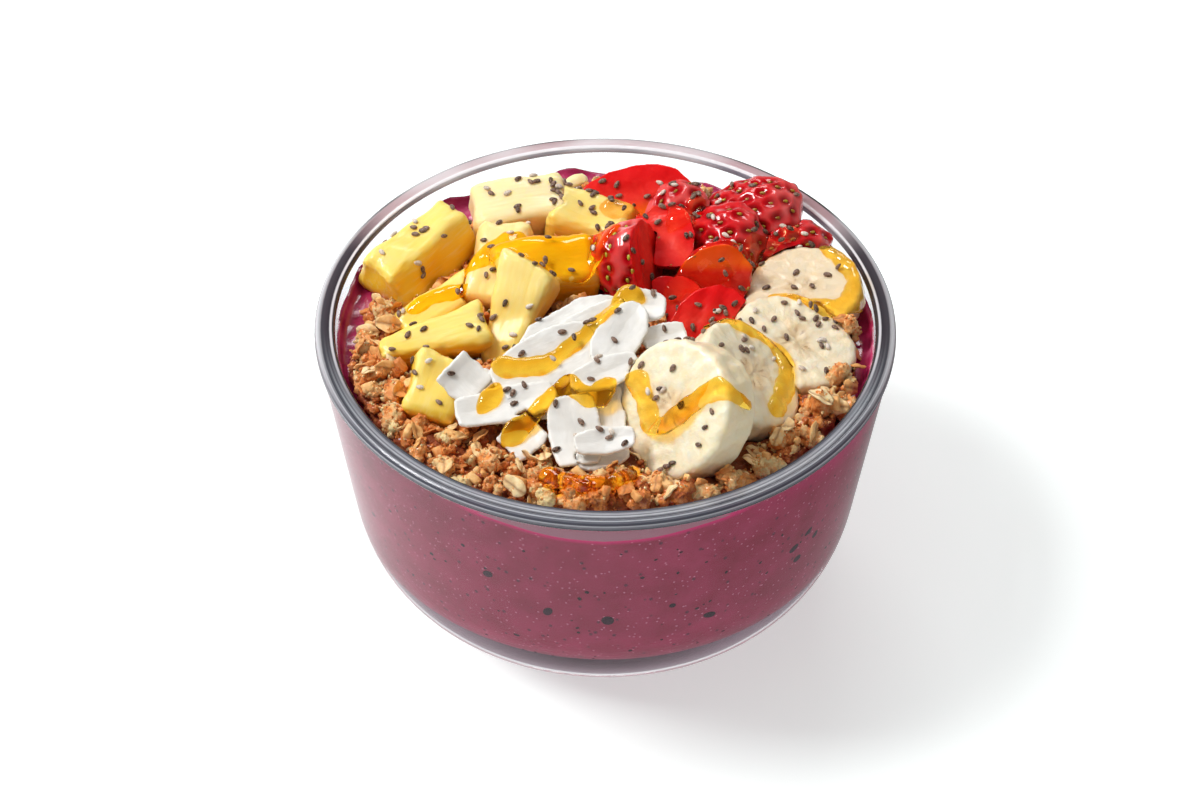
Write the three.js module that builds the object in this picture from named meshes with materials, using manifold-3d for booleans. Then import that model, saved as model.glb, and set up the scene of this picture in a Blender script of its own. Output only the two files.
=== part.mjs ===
// Dragon fruit smoothie in a round glass bowl, topped with granola, pineapple,
// strawberry, banana and coconut flakes. Millimetres, +Z up. The origin is the
// middle of the bowl's foot, on the surface that the bowl stands on, and the
// bowl is seen from the -Y side.
import * as THREE from 'three';
import { mergeVertices } from 'three/addons/utils/BufferGeometryUtils.js';
import { RoundedBoxGeometry } from 'three/addons/geometries/RoundedBoxGeometry.js';
import Module from 'manifold-3d';

const wasm = await Module();
wasm.setup();

// ---- Driving dimensions ----
const RIM_RADIUS = 76;          // outside of the rolled rim
const BOWL_HEIGHT = 80;
const FOOT_RADIUS = 42;         // flat that the bowl stands on
const WALL_TOP_RADIUS = 75.3;   // outside of the wall, just under the rim
const RIM_DEPTH = 3.1;          // height of the rolled rim
const RIM_WIDTH = 5.4;
const CORNER_RADIUS = 68.4;     // outside of the wall, just above the bottom corner
const CORNER_HEIGHT = 26;
const WALL = 4.3;
const BASE = 12;                // glass under the smoothie
const INNER_FOOT_RADIUS = FOOT_RADIUS - 8;
const INNER_CORNER_HEIGHT = 30; // where the inside's bottom corner meets the wall
const INNER_BEND = 5.6;         // how far inside the wall that corner's curve leans
const SMOOTHIE_LEVEL = 72;
const GAP = 0.3;                // clearance between neighbouring pieces
const AROUND = 32;              // facets round the bowl

const INNER_TOP_RADIUS = RIM_RADIUS - RIM_WIDTH;
const INNER_TOP_HEIGHT = BOWL_HEIGHT - 1.4;
const INNER_CORNER_RADIUS = CORNER_RADIUS - WALL;

const degrees = THREE.MathUtils.degToRad;
const mix = THREE.MathUtils.lerp;

// ---- Finishes ----
const finishes = {
  glass: { color: '#dfe6e8', roughness: 0.05, metalness: 0 },
  smoothie: { color: '#a0305f', roughness: 0.35, metalness: 0 },
  granola: { color: '#b06a35', roughness: 0.8, metalness: 0 },
  pineapple: { color: '#f2cc4c', roughness: 0.35, metalness: 0 },
  strawberry: { color: '#c81424', roughness: 0.3, metalness: 0 },
  banana: { color: '#efe2c4', roughness: 0.5, metalness: 0 },
  coconut: { color: '#f6f3ee', roughness: 0.5, metalness: 0 },
};

function piece(name, geometry, finish) {
  const mesh = new THREE.Mesh(geometry, new THREE.MeshStandardMaterial(finishes[finish]));
  mesh.name = name;
  return mesh;
}

// Puts a piece at a point. Its own +Z tips by lean towards a plan direction, and
// spin is the plan direction that its own +X had before it tipped.
function place(mesh, { at, lean = 0, towards = 0, spin = 0 }) {
  const up = new THREE.Vector3(0, 0, 1);
  const side = new THREE.Vector3(0, 1, 0);
  mesh.position.set(...at);
  mesh.quaternion.setFromAxisAngle(up, degrees(towards));
  mesh.quaternion.multiply(new THREE.Quaternion().setFromAxisAngle(side, degrees(lean)));
  mesh.quaternion.multiply(new THREE.Quaternion().setFromAxisAngle(up, degrees(spin - towards)));
  mesh.updateMatrixWorld(true);
  return mesh;
}

// ---- Joining and cutting ----
// One closed body: shared corners are merged and collapsed triangles left out.
function closed(geometry) {
  const plain = new THREE.BufferGeometry();
  plain.setAttribute('position', geometry.getAttribute('position').clone());
  plain.setIndex(geometry.getIndex());
  const merged = mergeVertices(plain, 1e-3);
  const index = merged.getIndex().array;
  const kept = [];
  for (let i = 0; i < index.length; i += 3) {
    const [a, b, c] = index.slice(i, i + 3);
    if (a !== b && b !== c && c !== a) kept.push(a, b, c);
  }
  merged.setIndex(kept);
  return merged;
}

function solidOf(geometry) {
  const body = closed(geometry);
  return new wasm.Manifold(new wasm.Mesh({
    numProp: 3,
    vertProperties: new Float32Array(body.getAttribute('position').array),
    triVerts: new Uint32Array(body.getIndex().array),
  }));
}

function geometryOf(solid) {
  const mesh = solid.getMesh();
  const geometry = new THREE.BufferGeometry();
  geometry.setAttribute('position', new THREE.BufferAttribute(mesh.vertProperties, 3));
  geometry.setIndex(new THREE.BufferAttribute(mesh.triVerts, 1));
  return geometry;
}

const worldGeometry = (mesh) => closed(mesh.geometry).applyMatrix4(mesh.matrixWorld);

// The same body with its surface moved out along its normals.
function grown(geometry, distance) {
  const body = closed(geometry);
  body.computeVertexNormals();
  const place = body.getAttribute('position');
  const normal = body.getAttribute('normal');
  for (let i = 0; i < place.count; i++) {
    place.setXYZ(
      i,
      place.getX(i) + normal.getX(i) * distance,
      place.getY(i) + normal.getY(i) * distance,
      place.getZ(i) + normal.getZ(i) * distance,
    );
  }
  body.deleteAttribute('normal');
  return body;
}

// The plain box that a mesh fits in, in its own frame, with a gap all round.
function pocketOf(mesh) {
  mesh.geometry.computeBoundingBox();
  const size = mesh.geometry.boundingBox.getSize(new THREE.Vector3()).addScalar(GAP * 2);
  const middle = mesh.geometry.boundingBox.getCenter(new THREE.Vector3());
  return new THREE.BoxGeometry(...size).translate(...middle);
}

const bodyCutter = (mesh) => solidOf(grown(worldGeometry(mesh), GAP * 1.7));
const pocketCutter = (mesh) => solidOf((mesh.userData.pocket ?? pocketOf(mesh)).clone().applyMatrix4(mesh.matrixWorld));

// Cuts a mesh back from its neighbours and keeps its largest part.
function carve(mesh, neighbours, cutterOf) {
  const reach = new THREE.Box3().setFromObject(mesh).expandByScalar(GAP * 3);
  const uncut = solidOf(worldGeometry(mesh));
  let solid = uncut;
  for (const neighbour of neighbours) {
    if (!reach.intersectsBox(new THREE.Box3().setFromObject(neighbour))) continue;
    const cutter = cutterOf(neighbour);
    if (!solid.intersect(cutter).isEmpty()) solid = solid.subtract(cutter);
  }
  if (solid !== uncut) {
    const parts = solid.decompose().sort((a, b) => b.volume() - a.volume());
    mesh.geometry = geometryOf(parts[0]).applyMatrix4(mesh.matrixWorld.clone().invert());
  }
  return mesh;
}

// Moves every corner of a geometry by a function of its place.
function warped(geometry, move) {
  const corners = geometry.getAttribute('position');
  const corner = new THREE.Vector3();
  for (let i = 0; i < corners.count; i++) {
    corner.fromBufferAttribute(corners, i);
    move(corner);
    corners.setXYZ(i, corner.x, corner.y, corner.z);
  }
  return geometry;
}

const spun = (points, segments) => new THREE.LatheGeometry(points, segments).rotateX(Math.PI / 2);

// ---- Glass bowl ----
function bowl() {
  const underRim = BOWL_HEIGHT - RIM_DEPTH;
  const wallSlope = (WALL_TOP_RADIUS - CORNER_RADIUS) / (underRim - CORNER_HEIGHT);
  const rimRound = 1.8;
  const profile = new THREE.Path();
  profile.moveTo(0, 0);
  profile.lineTo(FOOT_RADIUS, 0);
  profile.quadraticCurveTo(CORNER_RADIUS - wallSlope * CORNER_HEIGHT, 0, CORNER_RADIUS, CORNER_HEIGHT);
  profile.lineTo(WALL_TOP_RADIUS, underRim);
  profile.lineTo(RIM_RADIUS, BOWL_HEIGHT - rimRound);
  profile.quadraticCurveTo(RIM_RADIUS, BOWL_HEIGHT, RIM_RADIUS - rimRound, BOWL_HEIGHT);
  profile.lineTo(INNER_TOP_RADIUS + 1.4, BOWL_HEIGHT);
  profile.lineTo(INNER_TOP_RADIUS, INNER_TOP_HEIGHT);
  profile.lineTo(INNER_CORNER_RADIUS, INNER_CORNER_HEIGHT);
  profile.quadraticCurveTo(INNER_CORNER_RADIUS - INNER_BEND, BASE, INNER_FOOT_RADIUS, BASE);
  profile.lineTo(0, BASE);
  return piece('glass_bowl', spun(profile.getPoints(4), AROUND), 'glass');
}

// Radius of the inside of the wall at a height above the bottom corner.
const innerRadius = (z) => mix(
  INNER_CORNER_RADIUS,
  INNER_TOP_RADIUS,
  (z - INNER_CORNER_HEIGHT) / (INNER_TOP_HEIGHT - INNER_CORNER_HEIGHT),
);

// ---- Smoothie, up to its level, with a soft edge against the glass ----
function smoothie() {
  const corner = INNER_CORNER_RADIUS - GAP;
  const edge = 1.5;
  const profile = new THREE.Path();
  profile.moveTo(0, BASE + GAP);
  profile.lineTo(INNER_FOOT_RADIUS, BASE + GAP);
  profile.quadraticCurveTo(corner - INNER_BEND - GAP, BASE + GAP, corner, INNER_CORNER_HEIGHT);
  profile.lineTo(innerRadius(SMOOTHIE_LEVEL - edge) - GAP, SMOOTHIE_LEVEL - edge);
  profile.lineTo(innerRadius(SMOOTHIE_LEVEL) - edge, SMOOTHIE_LEVEL);
  profile.lineTo(0, SMOOTHIE_LEVEL);
  return piece('smoothie', spun(profile.getPoints(4), AROUND), 'smoothie');
}

// ---- Granola ----
// A lumpy bed on the smoothie, out to the glass in front and short of it elsewhere.
function granola() {
  const bottom = SMOOTHIE_LEVEL + GAP;
  const depth = 3.2;
  const rings = [0, 26, 44, 55, 62, 68];
  const profile = [new THREE.Vector2(0, bottom), new THREE.Vector2(rings.at(-1), bottom)];
  for (const ring of [...rings].reverse()) profile.push(new THREE.Vector2(ring, bottom + depth));
  const bed = warped(spun(profile, 28), (corner) => {
    const angle = Math.atan2(corner.y, corner.x);
    const share = Math.hypot(corner.x, corner.y) / rings.at(-1);
    const away = (toward, spread) => Math.exp(-(((degrees(toward) - angle) / degrees(spread)) ** 2));
    const reach = 1 - 0.19 * away(145, 38) - 0.1 * away(70, 40) - 0.03 * away(5, 25);
    corner.x *= reach;
    corner.y *= reach;
    if (corner.z > bottom + 1) {
      const lumps = Math.sin(corner.x * 0.7 + 1.3) * Math.sin(corner.y * 0.8) + 0.5 * Math.sin(angle * 23);
      corner.z += mix(2, 0.6, share ** 3) + lumps * 0.9 * share;
    }
  });
  return piece('granola', bed, 'granola');
}

// ---- Pineapple ----
// A chunk cut from a ring: length along X, narrower at its +X end by taper and at
// its top by ridge, with its -X end cut off slanting.
function pineapple(index, { size, taper = 1, ridge = 1, slant = 0, ...where }) {
  const [length, width, height] = size;
  const edge = 2.4;
  const chunk = warped(new RoundedBoxGeometry(length, width, height, 1, edge), (corner) => {
    const along = corner.x / length + 0.5;
    const up = corner.z / height + 0.5;
    corner.x += slant * corner.y * (1 - along);
    corner.y *= mix(1, taper, along) * mix(1, ridge, up);
    corner.z += 0.5 * Math.sin(corner.x * 0.5 + index) * Math.cos(corner.y * 0.4);
  });
  return place(piece(`pineapple_${index}`, chunk, 'pineapple'), where);
}

// ---- Strawberry ----
// A whole berry lies along X with its tip at +X. Each cut is a plane along the
// berry, whose normal stands at an angle round X from +Y, and a depth from the
// middle. from and to are where the ends are cut off, as shares of the length.
function strawberry(index, { length, radius, cuts = [], from = 0, to = 1, ...where }) {
  const widest = 0.64;
  const steps = 6;
  const profile = [];
  for (let i = 0; i <= steps; i++) {
    const share = i / steps;
    const shoulder = Math.sqrt(Math.max(0, 1 - ((share - widest) / (1.02 - widest)) ** 2));
    const tip = Math.max(0, 1 - (1 - share / widest) ** 2) ** 0.72;
    const width = share < widest ? tip : shoulder;
    profile.push(new THREE.Vector2(i === 0 ? 0 : radius * width, (share - 0.5) * length));
  }
  profile.push(new THREE.Vector2(0, length / 2 - 1));
  const berry = new THREE.LatheGeometry(profile, 12).rotateZ(Math.PI / 2);
  let solid = solidOf(berry);
  for (const { angle, depth = 0 } of cuts) {
    const normal = [0, -Math.cos(degrees(angle)), -Math.sin(degrees(angle))];
    solid = solid.trimByPlane(normal, -depth);
  }
  if (from > 0) solid = solid.trimByPlane([1, 0, 0], (from - 0.5) * length);
  if (to < 1) solid = solid.trimByPlane([-1, 0, 0], (0.5 - to) * length);
  return place(piece(`strawberry_${index}`, geometryOf(solid), 'strawberry'), where);
}

// ---- Banana ----
// A slice of slightly three-sided outline, flat faces along Z, with soft edges.
function banana(index, { radius, thickness, ...where }) {
  const edge = 0.9;
  const lobe = 0.02;
  const half = thickness / 2;
  const profile = [
    new THREE.Vector2(0, -half),
    new THREE.Vector2(radius - edge, -half),
    new THREE.Vector2(radius, edge - half),
    new THREE.Vector2(radius, half - edge),
    new THREE.Vector2(radius - edge, half),
    new THREE.Vector2(0, half),
  ];
  const slice = warped(spun(profile, 22), (corner) => {
    const lobes = 1 + lobe * Math.cos(3 * Math.atan2(corner.y, corner.x));
    corner.x *= lobes;
    corner.y *= lobes;
  });
  const mesh = place(piece(`banana_${index}`, slice, 'banana'), where);
  const pocketRadius = radius * (1 + lobe) + GAP;
  mesh.userData.pocket = new THREE.CylinderGeometry(pocketRadius, pocketRadius, thickness + GAP * 2, 20);
  mesh.userData.pocket.rotateX(Math.PI / 2);
  return mesh;
}

// ---- Coconut ----
// A shaved flake, length along X: square is 0 for an oval and 1 for a full rectangle.
// bend curves it along its length, cup across it, and twist turns its ends.
function coconut(index, { size, square = 0.5, bend = 0.8, cup = 0.5, twist = 0, ...where }) {
  const [length, width] = size;
  const thickness = 0.9;
  const flake = warped(new THREE.BoxGeometry(length, width, thickness, 6, 2, 1), (corner) => {
    const along = Math.sin(corner.x / length * Math.PI);
    const across = corner.y / (width / 2);
    const oval = Math.sqrt(Math.max(0.03, 1 - along ** 2));
    const ragged = 1 + 0.05 * Math.sin(along * 7 + index * 2.3) * Math.abs(across);
    corner.x = along * length / 2 * (1 - 0.1 * (1 - square) * Math.abs(across) ** 2);
    corner.y *= mix(oval, 1, square) * ragged;
    corner.z += bend * along ** 2 + cup * across ** 2 + twist * along * across;
  });
  return place(piece(`coconut_${index}`, flake, 'coconut'), where);
}

// ---- Toppings, each at its place in the heap ----
const bananas = [
  { radius: 17.5, thickness: 11.7, at: [20.6, -42, 86.7], lean: 56, towards: -140 },
  { radius: 15.9, thickness: 9, at: [34.6, -27.8, 82.9], lean: 37, towards: -8 },
  { radius: 16.5, thickness: 7.5, at: [48.3, -9.2, 77.4], lean: 13, towards: -18 },
  { radius: 15.6, thickness: 7, at: [52.3, 11.9, 76.6], lean: 15, towards: -140 },
].map((slice, i) => banana(i + 1, slice));

const pineapples = [
  { size: [30, 20, 13], ridge: 0.55, at: [-50, 24.6, 81], spin: 47, lean: 8, towards: -135 },
  { size: [26, 17, 12], taper: 0.85, at: [-23.4, 42, 81.7], spin: 11, lean: 14, towards: -100 },
  { size: [22, 18, 12], ridge: 0.7, at: [-3.9, 37.4, 81.2], spin: -19, lean: 14, towards: -90 },
  { size: [26, 16, 10], ridge: 0.8, at: [-28.7, 17.2, 82.1], spin: 80, lean: 14, towards: -90 },
  { size: [27, 18, 12], ridge: 0.7, at: [-16, 14.6, 83.4], spin: 12, lean: 20, towards: -74 },
  { size: [30, 17, 10], taper: 0.5, slant: 0.35, at: [-23.3, -2.5, 82.5], spin: -110, lean: 37, towards: -114 },
  { size: [29, 15, 10], taper: 0.4, at: [-44.2, -9.8, 79.8], spin: -165, lean: 20, towards: -106 },
  { size: [18, 15, 11], at: [-43, -28.5, 79.5], spin: -107, lean: 30, towards: -79 },
  { size: [26, 14, 10], ridge: 0.7, at: [-43, 5.5, 77], spin: 36, lean: 13, towards: -117 },
  { size: [7, 5, 5], at: [-8, 59, 77], spin: 34, lean: 13, towards: -90 },
].map((chunk, i) => pineapple(i + 1, chunk));

const cutUp = [{ angle: 90 }];
const cutDown = [{ angle: -90 }];
const cutHigh = [{ angle: 90, depth: 3 }];
const strawberries = [
  { length: 36, radius: 11.5, cuts: cutUp, at: [7.5, 43.5, 82.5], spin: -178, lean: 35, towards: -90 },
  { length: 32, radius: 11.5, cuts: cutDown, from: 0.1, at: [40, 42.4, 79], spin: 173 },
  { length: 25, radius: 11, cuts: cutDown, at: [31.5, 32.5, 79], spin: 171 },
  { length: 21, radius: 10, cuts: cutDown, at: [18.9, 41.8, 79], spin: -135 },
  { length: 25, radius: 12.5, cuts: cutHigh, at: [8.2, 15.1, 84], spin: -60, lean: 72, towards: -12 },
  { length: 21, radius: 9, cuts: cutUp, at: [15.6, 24.4, 86.5], spin: -59, lean: 21, towards: -106 },
  { length: 21, radius: 9, cuts: cutUp, at: [28.4, 14, 82], spin: -180, lean: 63, towards: -90 },
  { length: 28, radius: 8, cuts: cutDown, at: [47.5, 30.6, 77], spin: -163 },
  { length: 22, radius: 9, cuts: cutUp, at: [27.3, -1.5, 81], spin: -173, lean: 40, towards: -90 },
  { length: 18, radius: 8, cuts: cutUp, at: [18.6, 7.3, 79], spin: 10, lean: 30, towards: -90 },
].map((berry, i) => strawberry(i + 1, berry));

const coconuts = [
  { size: [10.5, 10.5], square: 0.9, at: [-35.5, -31, 86], spin: -39, lean: 38, towards: -80 },
  { size: [32.5, 14.5], square: 0.12, at: [-9.5, -16.5, 89], spin: 36, lean: 21, towards: -84 },
  { size: [28, 8], square: 0.12, at: [-7, -17, 90.5], spin: 37, lean: 18, towards: -90 },
  { size: [29.5, 16], square: 0.45, at: [-15, -26.5, 88], spin: 32, lean: 22, towards: -84 },
  { size: [21.5, 12], square: 0.25, at: [3.5, -20.5, 91.5], spin: 62, lean: 20, towards: -80 },
  { size: [18.5, 8.5], square: 0.3, at: [0, -32, 89.5], spin: 23, lean: 24, towards: -88 },
  { size: [13, 9.5], square: 0.5, at: [9, -9, 92], spin: -8, lean: 20, towards: -80 },
  { size: [11.5, 7.5], square: 0.5, at: [15, -17.5, 88.5], spin: 18, lean: 20, towards: -80 },
  { size: [25.5, 9.5], square: 0.6, at: [-25, -38.5, 83], spin: 13, lean: 22, towards: -92 },
  { size: [10, 9.5], square: 0.9, at: [-20.5, -45, 79], spin: 45, lean: 28, towards: -88 },
  { size: [19, 13], square: 0.65, at: [-7.5, -45.5, 82], spin: -82, lean: 25, towards: -92 },
  { size: [15.5, 7], square: 0.45, at: [0, -50, 83], spin: 9, lean: 28, towards: -88 },
  { size: [13.5, 6.5], square: 0.5, at: [-0.5, -51, 78.5], spin: 16, lean: 26, towards: -86 },
  { size: [14, 7.5], square: 0.6, at: [1.5, -38.5, 82.5], spin: -84, lean: 22, towards: -92 },
  { size: [28, 11.5], square: 0.5, at: [-5.5, -33, 82.5], spin: 15, lean: 18, towards: -88 },
  { size: [16, 8.5], square: 0.5, at: [-27.5, -32, 83], spin: -32, lean: 18, towards: -88 },
].map((flake, i) => coconut(i + 1, flake));

// Banana keeps its shape, then the flakes from the front back, then the fruit under them.
coconuts.sort((a, b) => a.position.y - b.position.y);
const toppings = [...bananas, ...coconuts, ...pineapples, ...strawberries];
const glass = bowl();
toppings.forEach((topping, i) => carve(topping, [glass, ...toppings.slice(0, i)], bodyCutter));
const filling = carve(smoothie(), toppings, pocketCutter);
const bed = carve(granola(), toppings, pocketCutter);

const group = new THREE.Group();
group.name = 'dragon_fruit_bowl';
group.add(glass, filling, bed, ...toppings);

export default group;
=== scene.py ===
"""Dragon fruit smoothie in a round glass bowl, topped with granola, fruit, coconut,
honey and chia seeds. Metres, +Z up, the bowl's foot at the origin."""
import math
import random

import bpy
import numpy as np
from mathutils import Matrix, Vector
from mathutils.bvhtree import BVHTree


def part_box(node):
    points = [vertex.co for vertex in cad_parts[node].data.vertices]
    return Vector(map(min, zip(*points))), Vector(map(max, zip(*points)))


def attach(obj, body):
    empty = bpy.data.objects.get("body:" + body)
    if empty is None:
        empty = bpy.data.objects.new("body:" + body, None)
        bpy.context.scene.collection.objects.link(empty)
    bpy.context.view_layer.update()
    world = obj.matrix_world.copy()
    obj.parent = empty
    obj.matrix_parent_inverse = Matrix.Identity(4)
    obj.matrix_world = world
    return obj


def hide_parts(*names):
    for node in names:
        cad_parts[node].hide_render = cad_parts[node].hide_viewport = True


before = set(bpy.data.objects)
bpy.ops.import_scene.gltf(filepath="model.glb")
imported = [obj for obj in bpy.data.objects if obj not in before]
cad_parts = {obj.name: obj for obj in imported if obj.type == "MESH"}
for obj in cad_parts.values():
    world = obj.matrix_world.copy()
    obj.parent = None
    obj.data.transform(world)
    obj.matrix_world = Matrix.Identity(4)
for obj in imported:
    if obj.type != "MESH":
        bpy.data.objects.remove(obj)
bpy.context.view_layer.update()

MM = 0.001
SMOOTHIE_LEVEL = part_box("smoothie")[1].z
RIM_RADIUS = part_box("glass_bowl")[1].x
BOWL_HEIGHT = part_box("glass_bowl")[1].z
OVERHEAD = 0.15  # a height that is clear of everything
WAVE_COUNT = 9

# How each topping lies, in the order of the nodes: spin is the plan direction of its own +X,
# and then its own +Z tips by lean towards a plan direction. Degrees. A pineapple's last value
# is its ripeness.
PINEAPPLES = [
    (47, 8, -135, 0.55), (11, 14, -100, 0.1), (-19, 14, -90, 0.5), (80, 14, -90, 0.3),
    (12, 20, -74, 0.8), (-110, 37, -114, 0.45), (-165, 20, -106, 0.8), (-107, 30, -79, 0.9),
    (36, 13, -117, 0.6), (34, 13, -90, 0.1),
]
# The fourth value is the side of the berry that is cut flat: 1 for up, -1 for down. Then come how
# pale the skin is between its seeds, a painted highlight, and how much of the cut glows orange,
# down from its top if negative.
STRAWBERRIES = [
    (-178, 35, -90, 1, 0.1, 0.56), (173, 0, 0, -1, 0.25, 0), (171, 0, 0, -1, 0.1, 0),
    (-135, 0, 0, -1, 0.6, 0), (-60, 72, -12, 1, 0.4, 0), (-59, 21, -106, 1, 0.1, 0),
    (-180, 63, -90, 1, 0.1, -0.42), (-163, 0, 0, -1, 0.1, 0), (-173, 40, -90, 1, 0.1, 0),
    (10, 30, -90, 1, 0.1, 0),
]
# The last value is how moist, and so how dark, the slice is.
BANANAS = [
    (0, 56, -140, 0.0), (40, 37, -8, 0.1), (75, 13, -18, 0.25), (20, 15, -140, 0.7),
]
COCONUTS = [
    (-39, 38, -80), (36, 21, -84), (37, 18, -90), (32, 22, -84), (62, 20, -80), (23, 24, -88),
    (-8, 20, -80), (18, 20, -80), (13, 22, -92), (45, 28, -88), (-82, 25, -92), (9, 28, -88),
    (16, 26, -86), (-84, 22, -92), (15, 18, -88), (-32, 18, -88),
]
# Millimetres. This flake lies over the tip of the one behind it.
COCONUT_LIFTS = {"coconut_9": 1.2}


def each(kind, values):
    """The node, the value and the place in the row of each topping of a kind."""
    return [(f"{kind}_{index + 1}", value, index) for index, value in enumerate(values)]


# ---- Mesh tools ----
def select_only(piece):
    bpy.ops.object.select_all(action="DESELECT")
    piece.select_set(True)
    bpy.context.view_layer.objects.active = piece


def modify(piece, kind, **settings):
    """Adds a modifier and applies it."""
    select_only(piece)
    modifier = piece.modifiers.new(kind.lower(), kind)
    for key, value in settings.items():
        setattr(modifier, key, value)
    bpy.ops.object.modifier_apply(modifier=modifier.name)


def edit(piece, *steps):
    """Runs edit-mode operators on the whole mesh: each step is an operator and its settings."""
    select_only(piece)
    bpy.ops.object.mode_set(mode="EDIT")
    for operator, settings in steps:
        bpy.ops.mesh.select_all(action="SELECT")
        operator(**settings)
    bpy.ops.object.mode_set(mode="OBJECT")


def new_piece(name, points, edges=(), faces=()):
    mesh = bpy.data.meshes.new(name)
    mesh.from_pydata(points, edges, faces)
    mesh.validate()
    piece = bpy.data.objects.new(name, mesh)
    bpy.context.scene.collection.objects.link(piece)
    return piece


def points_of(piece):
    points = np.empty(len(piece.data.vertices) * 3, np.float32)
    piece.data.vertices.foreach_get("co", points)
    return points.reshape(-1, 3).astype(float)


def move_points(piece, points):
    piece.data.vertices.foreach_set("co", np.asarray(points, np.float32).ravel())
    piece.data.update()


def normals_of(piece):
    normals = np.empty(len(piece.data.vertices) * 3, np.float32)
    piece.data.vertex_normals.foreach_get("vector", normals)
    return normals.reshape(-1, 3).astype(float)


def mark(piece, name, values):
    """Keeps a value, or a place, at each point for the materials to read."""
    values = np.asarray(values, np.float32)
    if values.ndim == 1:
        layer = piece.data.attributes.new(name, "FLOAT", "POINT")
        layer.data.foreach_set("value", values)
    else:
        layer = piece.data.attributes.new(name, "FLOAT_VECTOR", "POINT")
        layer.data.foreach_set("vector", values.ravel())


def finished(piece, material, nodes=()):
    """Smooth shading, a material, a place under the root body, and the nodes that the piece stands for,
    which it hides.
    """
    piece.data.polygons.foreach_set("use_smooth", [True] * len(piece.data.polygons))
    piece.data.materials.clear()
    piece.data.materials.append(material)
    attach(piece, "root")
    for node in nodes:
        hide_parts(node)
    return piece


def waves(points, size, seed):
    """An uneven height at each point, about -1 to 1, in lumps of the given size."""
    source = np.random.default_rng(seed)
    ways = source.normal(size=(WAVE_COUNT, 3))
    lengths = np.linalg.norm(ways, axis=1)[:, None]
    ways *= 2 * math.pi / size * source.uniform(0.6, 1.5, (WAVE_COUNT, 1)) / lengths
    starts = source.uniform(0, 2 * math.pi, WAVE_COUNT)
    return np.sin(points @ ways.T + starts).sum(1) / math.sqrt(WAVE_COUNT)


def convexity(piece, rounds, full):
    """0 on flat and hollow parts up to 1 on edges that stand out by the full distance."""
    points = points_of(piece)
    edges = np.empty(len(piece.data.edges) * 2, np.int32)
    piece.data.edges.foreach_get("vertices", edges)
    first, second = edges.reshape(-1, 2).T
    count = np.bincount(first, minlength=len(points)) + np.bincount(second, minlength=len(points))
    smooth = points.copy()
    for _ in range(rounds):
        total = np.zeros_like(smooth)
        for axis in range(3):
            total[:, axis] += np.bincount(first, smooth[second, axis], len(points))
            total[:, axis] += np.bincount(second, smooth[first, axis], len(points))
        smooth = (smooth + total / count[:, None]) / 2
    standing = ((points - smooth) * normals_of(piece)).sum(1)
    return np.clip(standing / full, 0, 1)


def turn_of(spin, lean, towards):
    radians = math.radians
    tipped = Matrix.Rotation(radians(towards), 3, "Z") @ Matrix.Rotation(radians(lean), 3, "Y")
    return np.array(tipped @ Matrix.Rotation(radians(spin - towards), 3, "Z"))


def own_places(points, turn):
    """Places in a topping's own axes, from the middle of its extent."""
    own = points @ turn
    return own - (own.min(0) + own.max(0)) / 2


def roundness(angle, facets, first=0.0):
    """How much a body that was spun in flat facets must grow, at each angle, to be round."""
    step = 2 * math.pi / facets
    return np.cos((angle - first) % step - step / 2) / math.cos(step / 2)


def food(node, voxel, smoothing):
    """A fine closed copy of a CAD node with softened edges."""
    piece = bpy.data.objects.new(node + "_food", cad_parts[node].data.copy())
    bpy.context.scene.collection.objects.link(piece)
    piece.data.materials.clear()
    edit(piece, (bpy.ops.mesh.remove_doubles, {"threshold": 2e-5}),
         (bpy.ops.mesh.normals_make_consistent, {"inside": False}))
    modify(piece, "REMESH", mode="VOXEL", voxel_size=voxel)
    modify(piece, "SMOOTH", factor=0.5, iterations=smoothing)
    return piece


def shape_of(piece):
    """Corners and triangles of a small shape, which is then taken away."""
    modify(piece, "TRIANGULATE")
    points = points_of(piece)
    faces = np.array([face.vertices[:] for face in piece.data.polygons])
    bpy.data.objects.remove(piece)
    return points, faces


def ball():
    """Corners and triangles of a round ball with a radius of 1."""
    bpy.ops.object.select_all(action="DESELECT")
    bpy.ops.mesh.primitive_ico_sphere_add(subdivisions=2, radius=1)
    return shape_of(bpy.context.object)


def lying(normal, spin, tip=0.0):
    """A turn that lays +Z along a normal, spun round it and tipped a little."""
    tipped = Vector(normal).to_track_quat("Z", "Y").to_matrix() @ Matrix.Rotation(spin, 3, "Z")
    return np.array(tipped @ Matrix.Rotation(tip, 3, "X"))


def tumbled(source):
    """A turn in any direction."""
    return lying([source.uniform(-1, 1) for _ in range(3)], source.uniform(0, 6))


def scattered(name, kinds, places, extra=None):
    """One mesh of many small copies. Each place is a kind, a turn, a size, a middle and a tint.

    extra is the name of one more mark and what works it out from a copy's own corners.
    """
    points, faces, tints, marks = [], [], [], []
    start = 0
    for kind, turn, size, middle, tint in places:
        shape, corners = kinds[kind]
        points.append(shape * size @ turn.T + middle)
        faces.append(corners + start)
        tints.append(np.full(len(shape), tint))
        if extra:
            marks.append(extra[1](shape))
        start += len(shape)
    piece = new_piece(name, np.concatenate(points), (), np.concatenate(faces))
    mark(piece, "tint", np.concatenate(tints))
    if extra:
        mark(piece, extra[0], np.concatenate(marks))
    return piece


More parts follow.
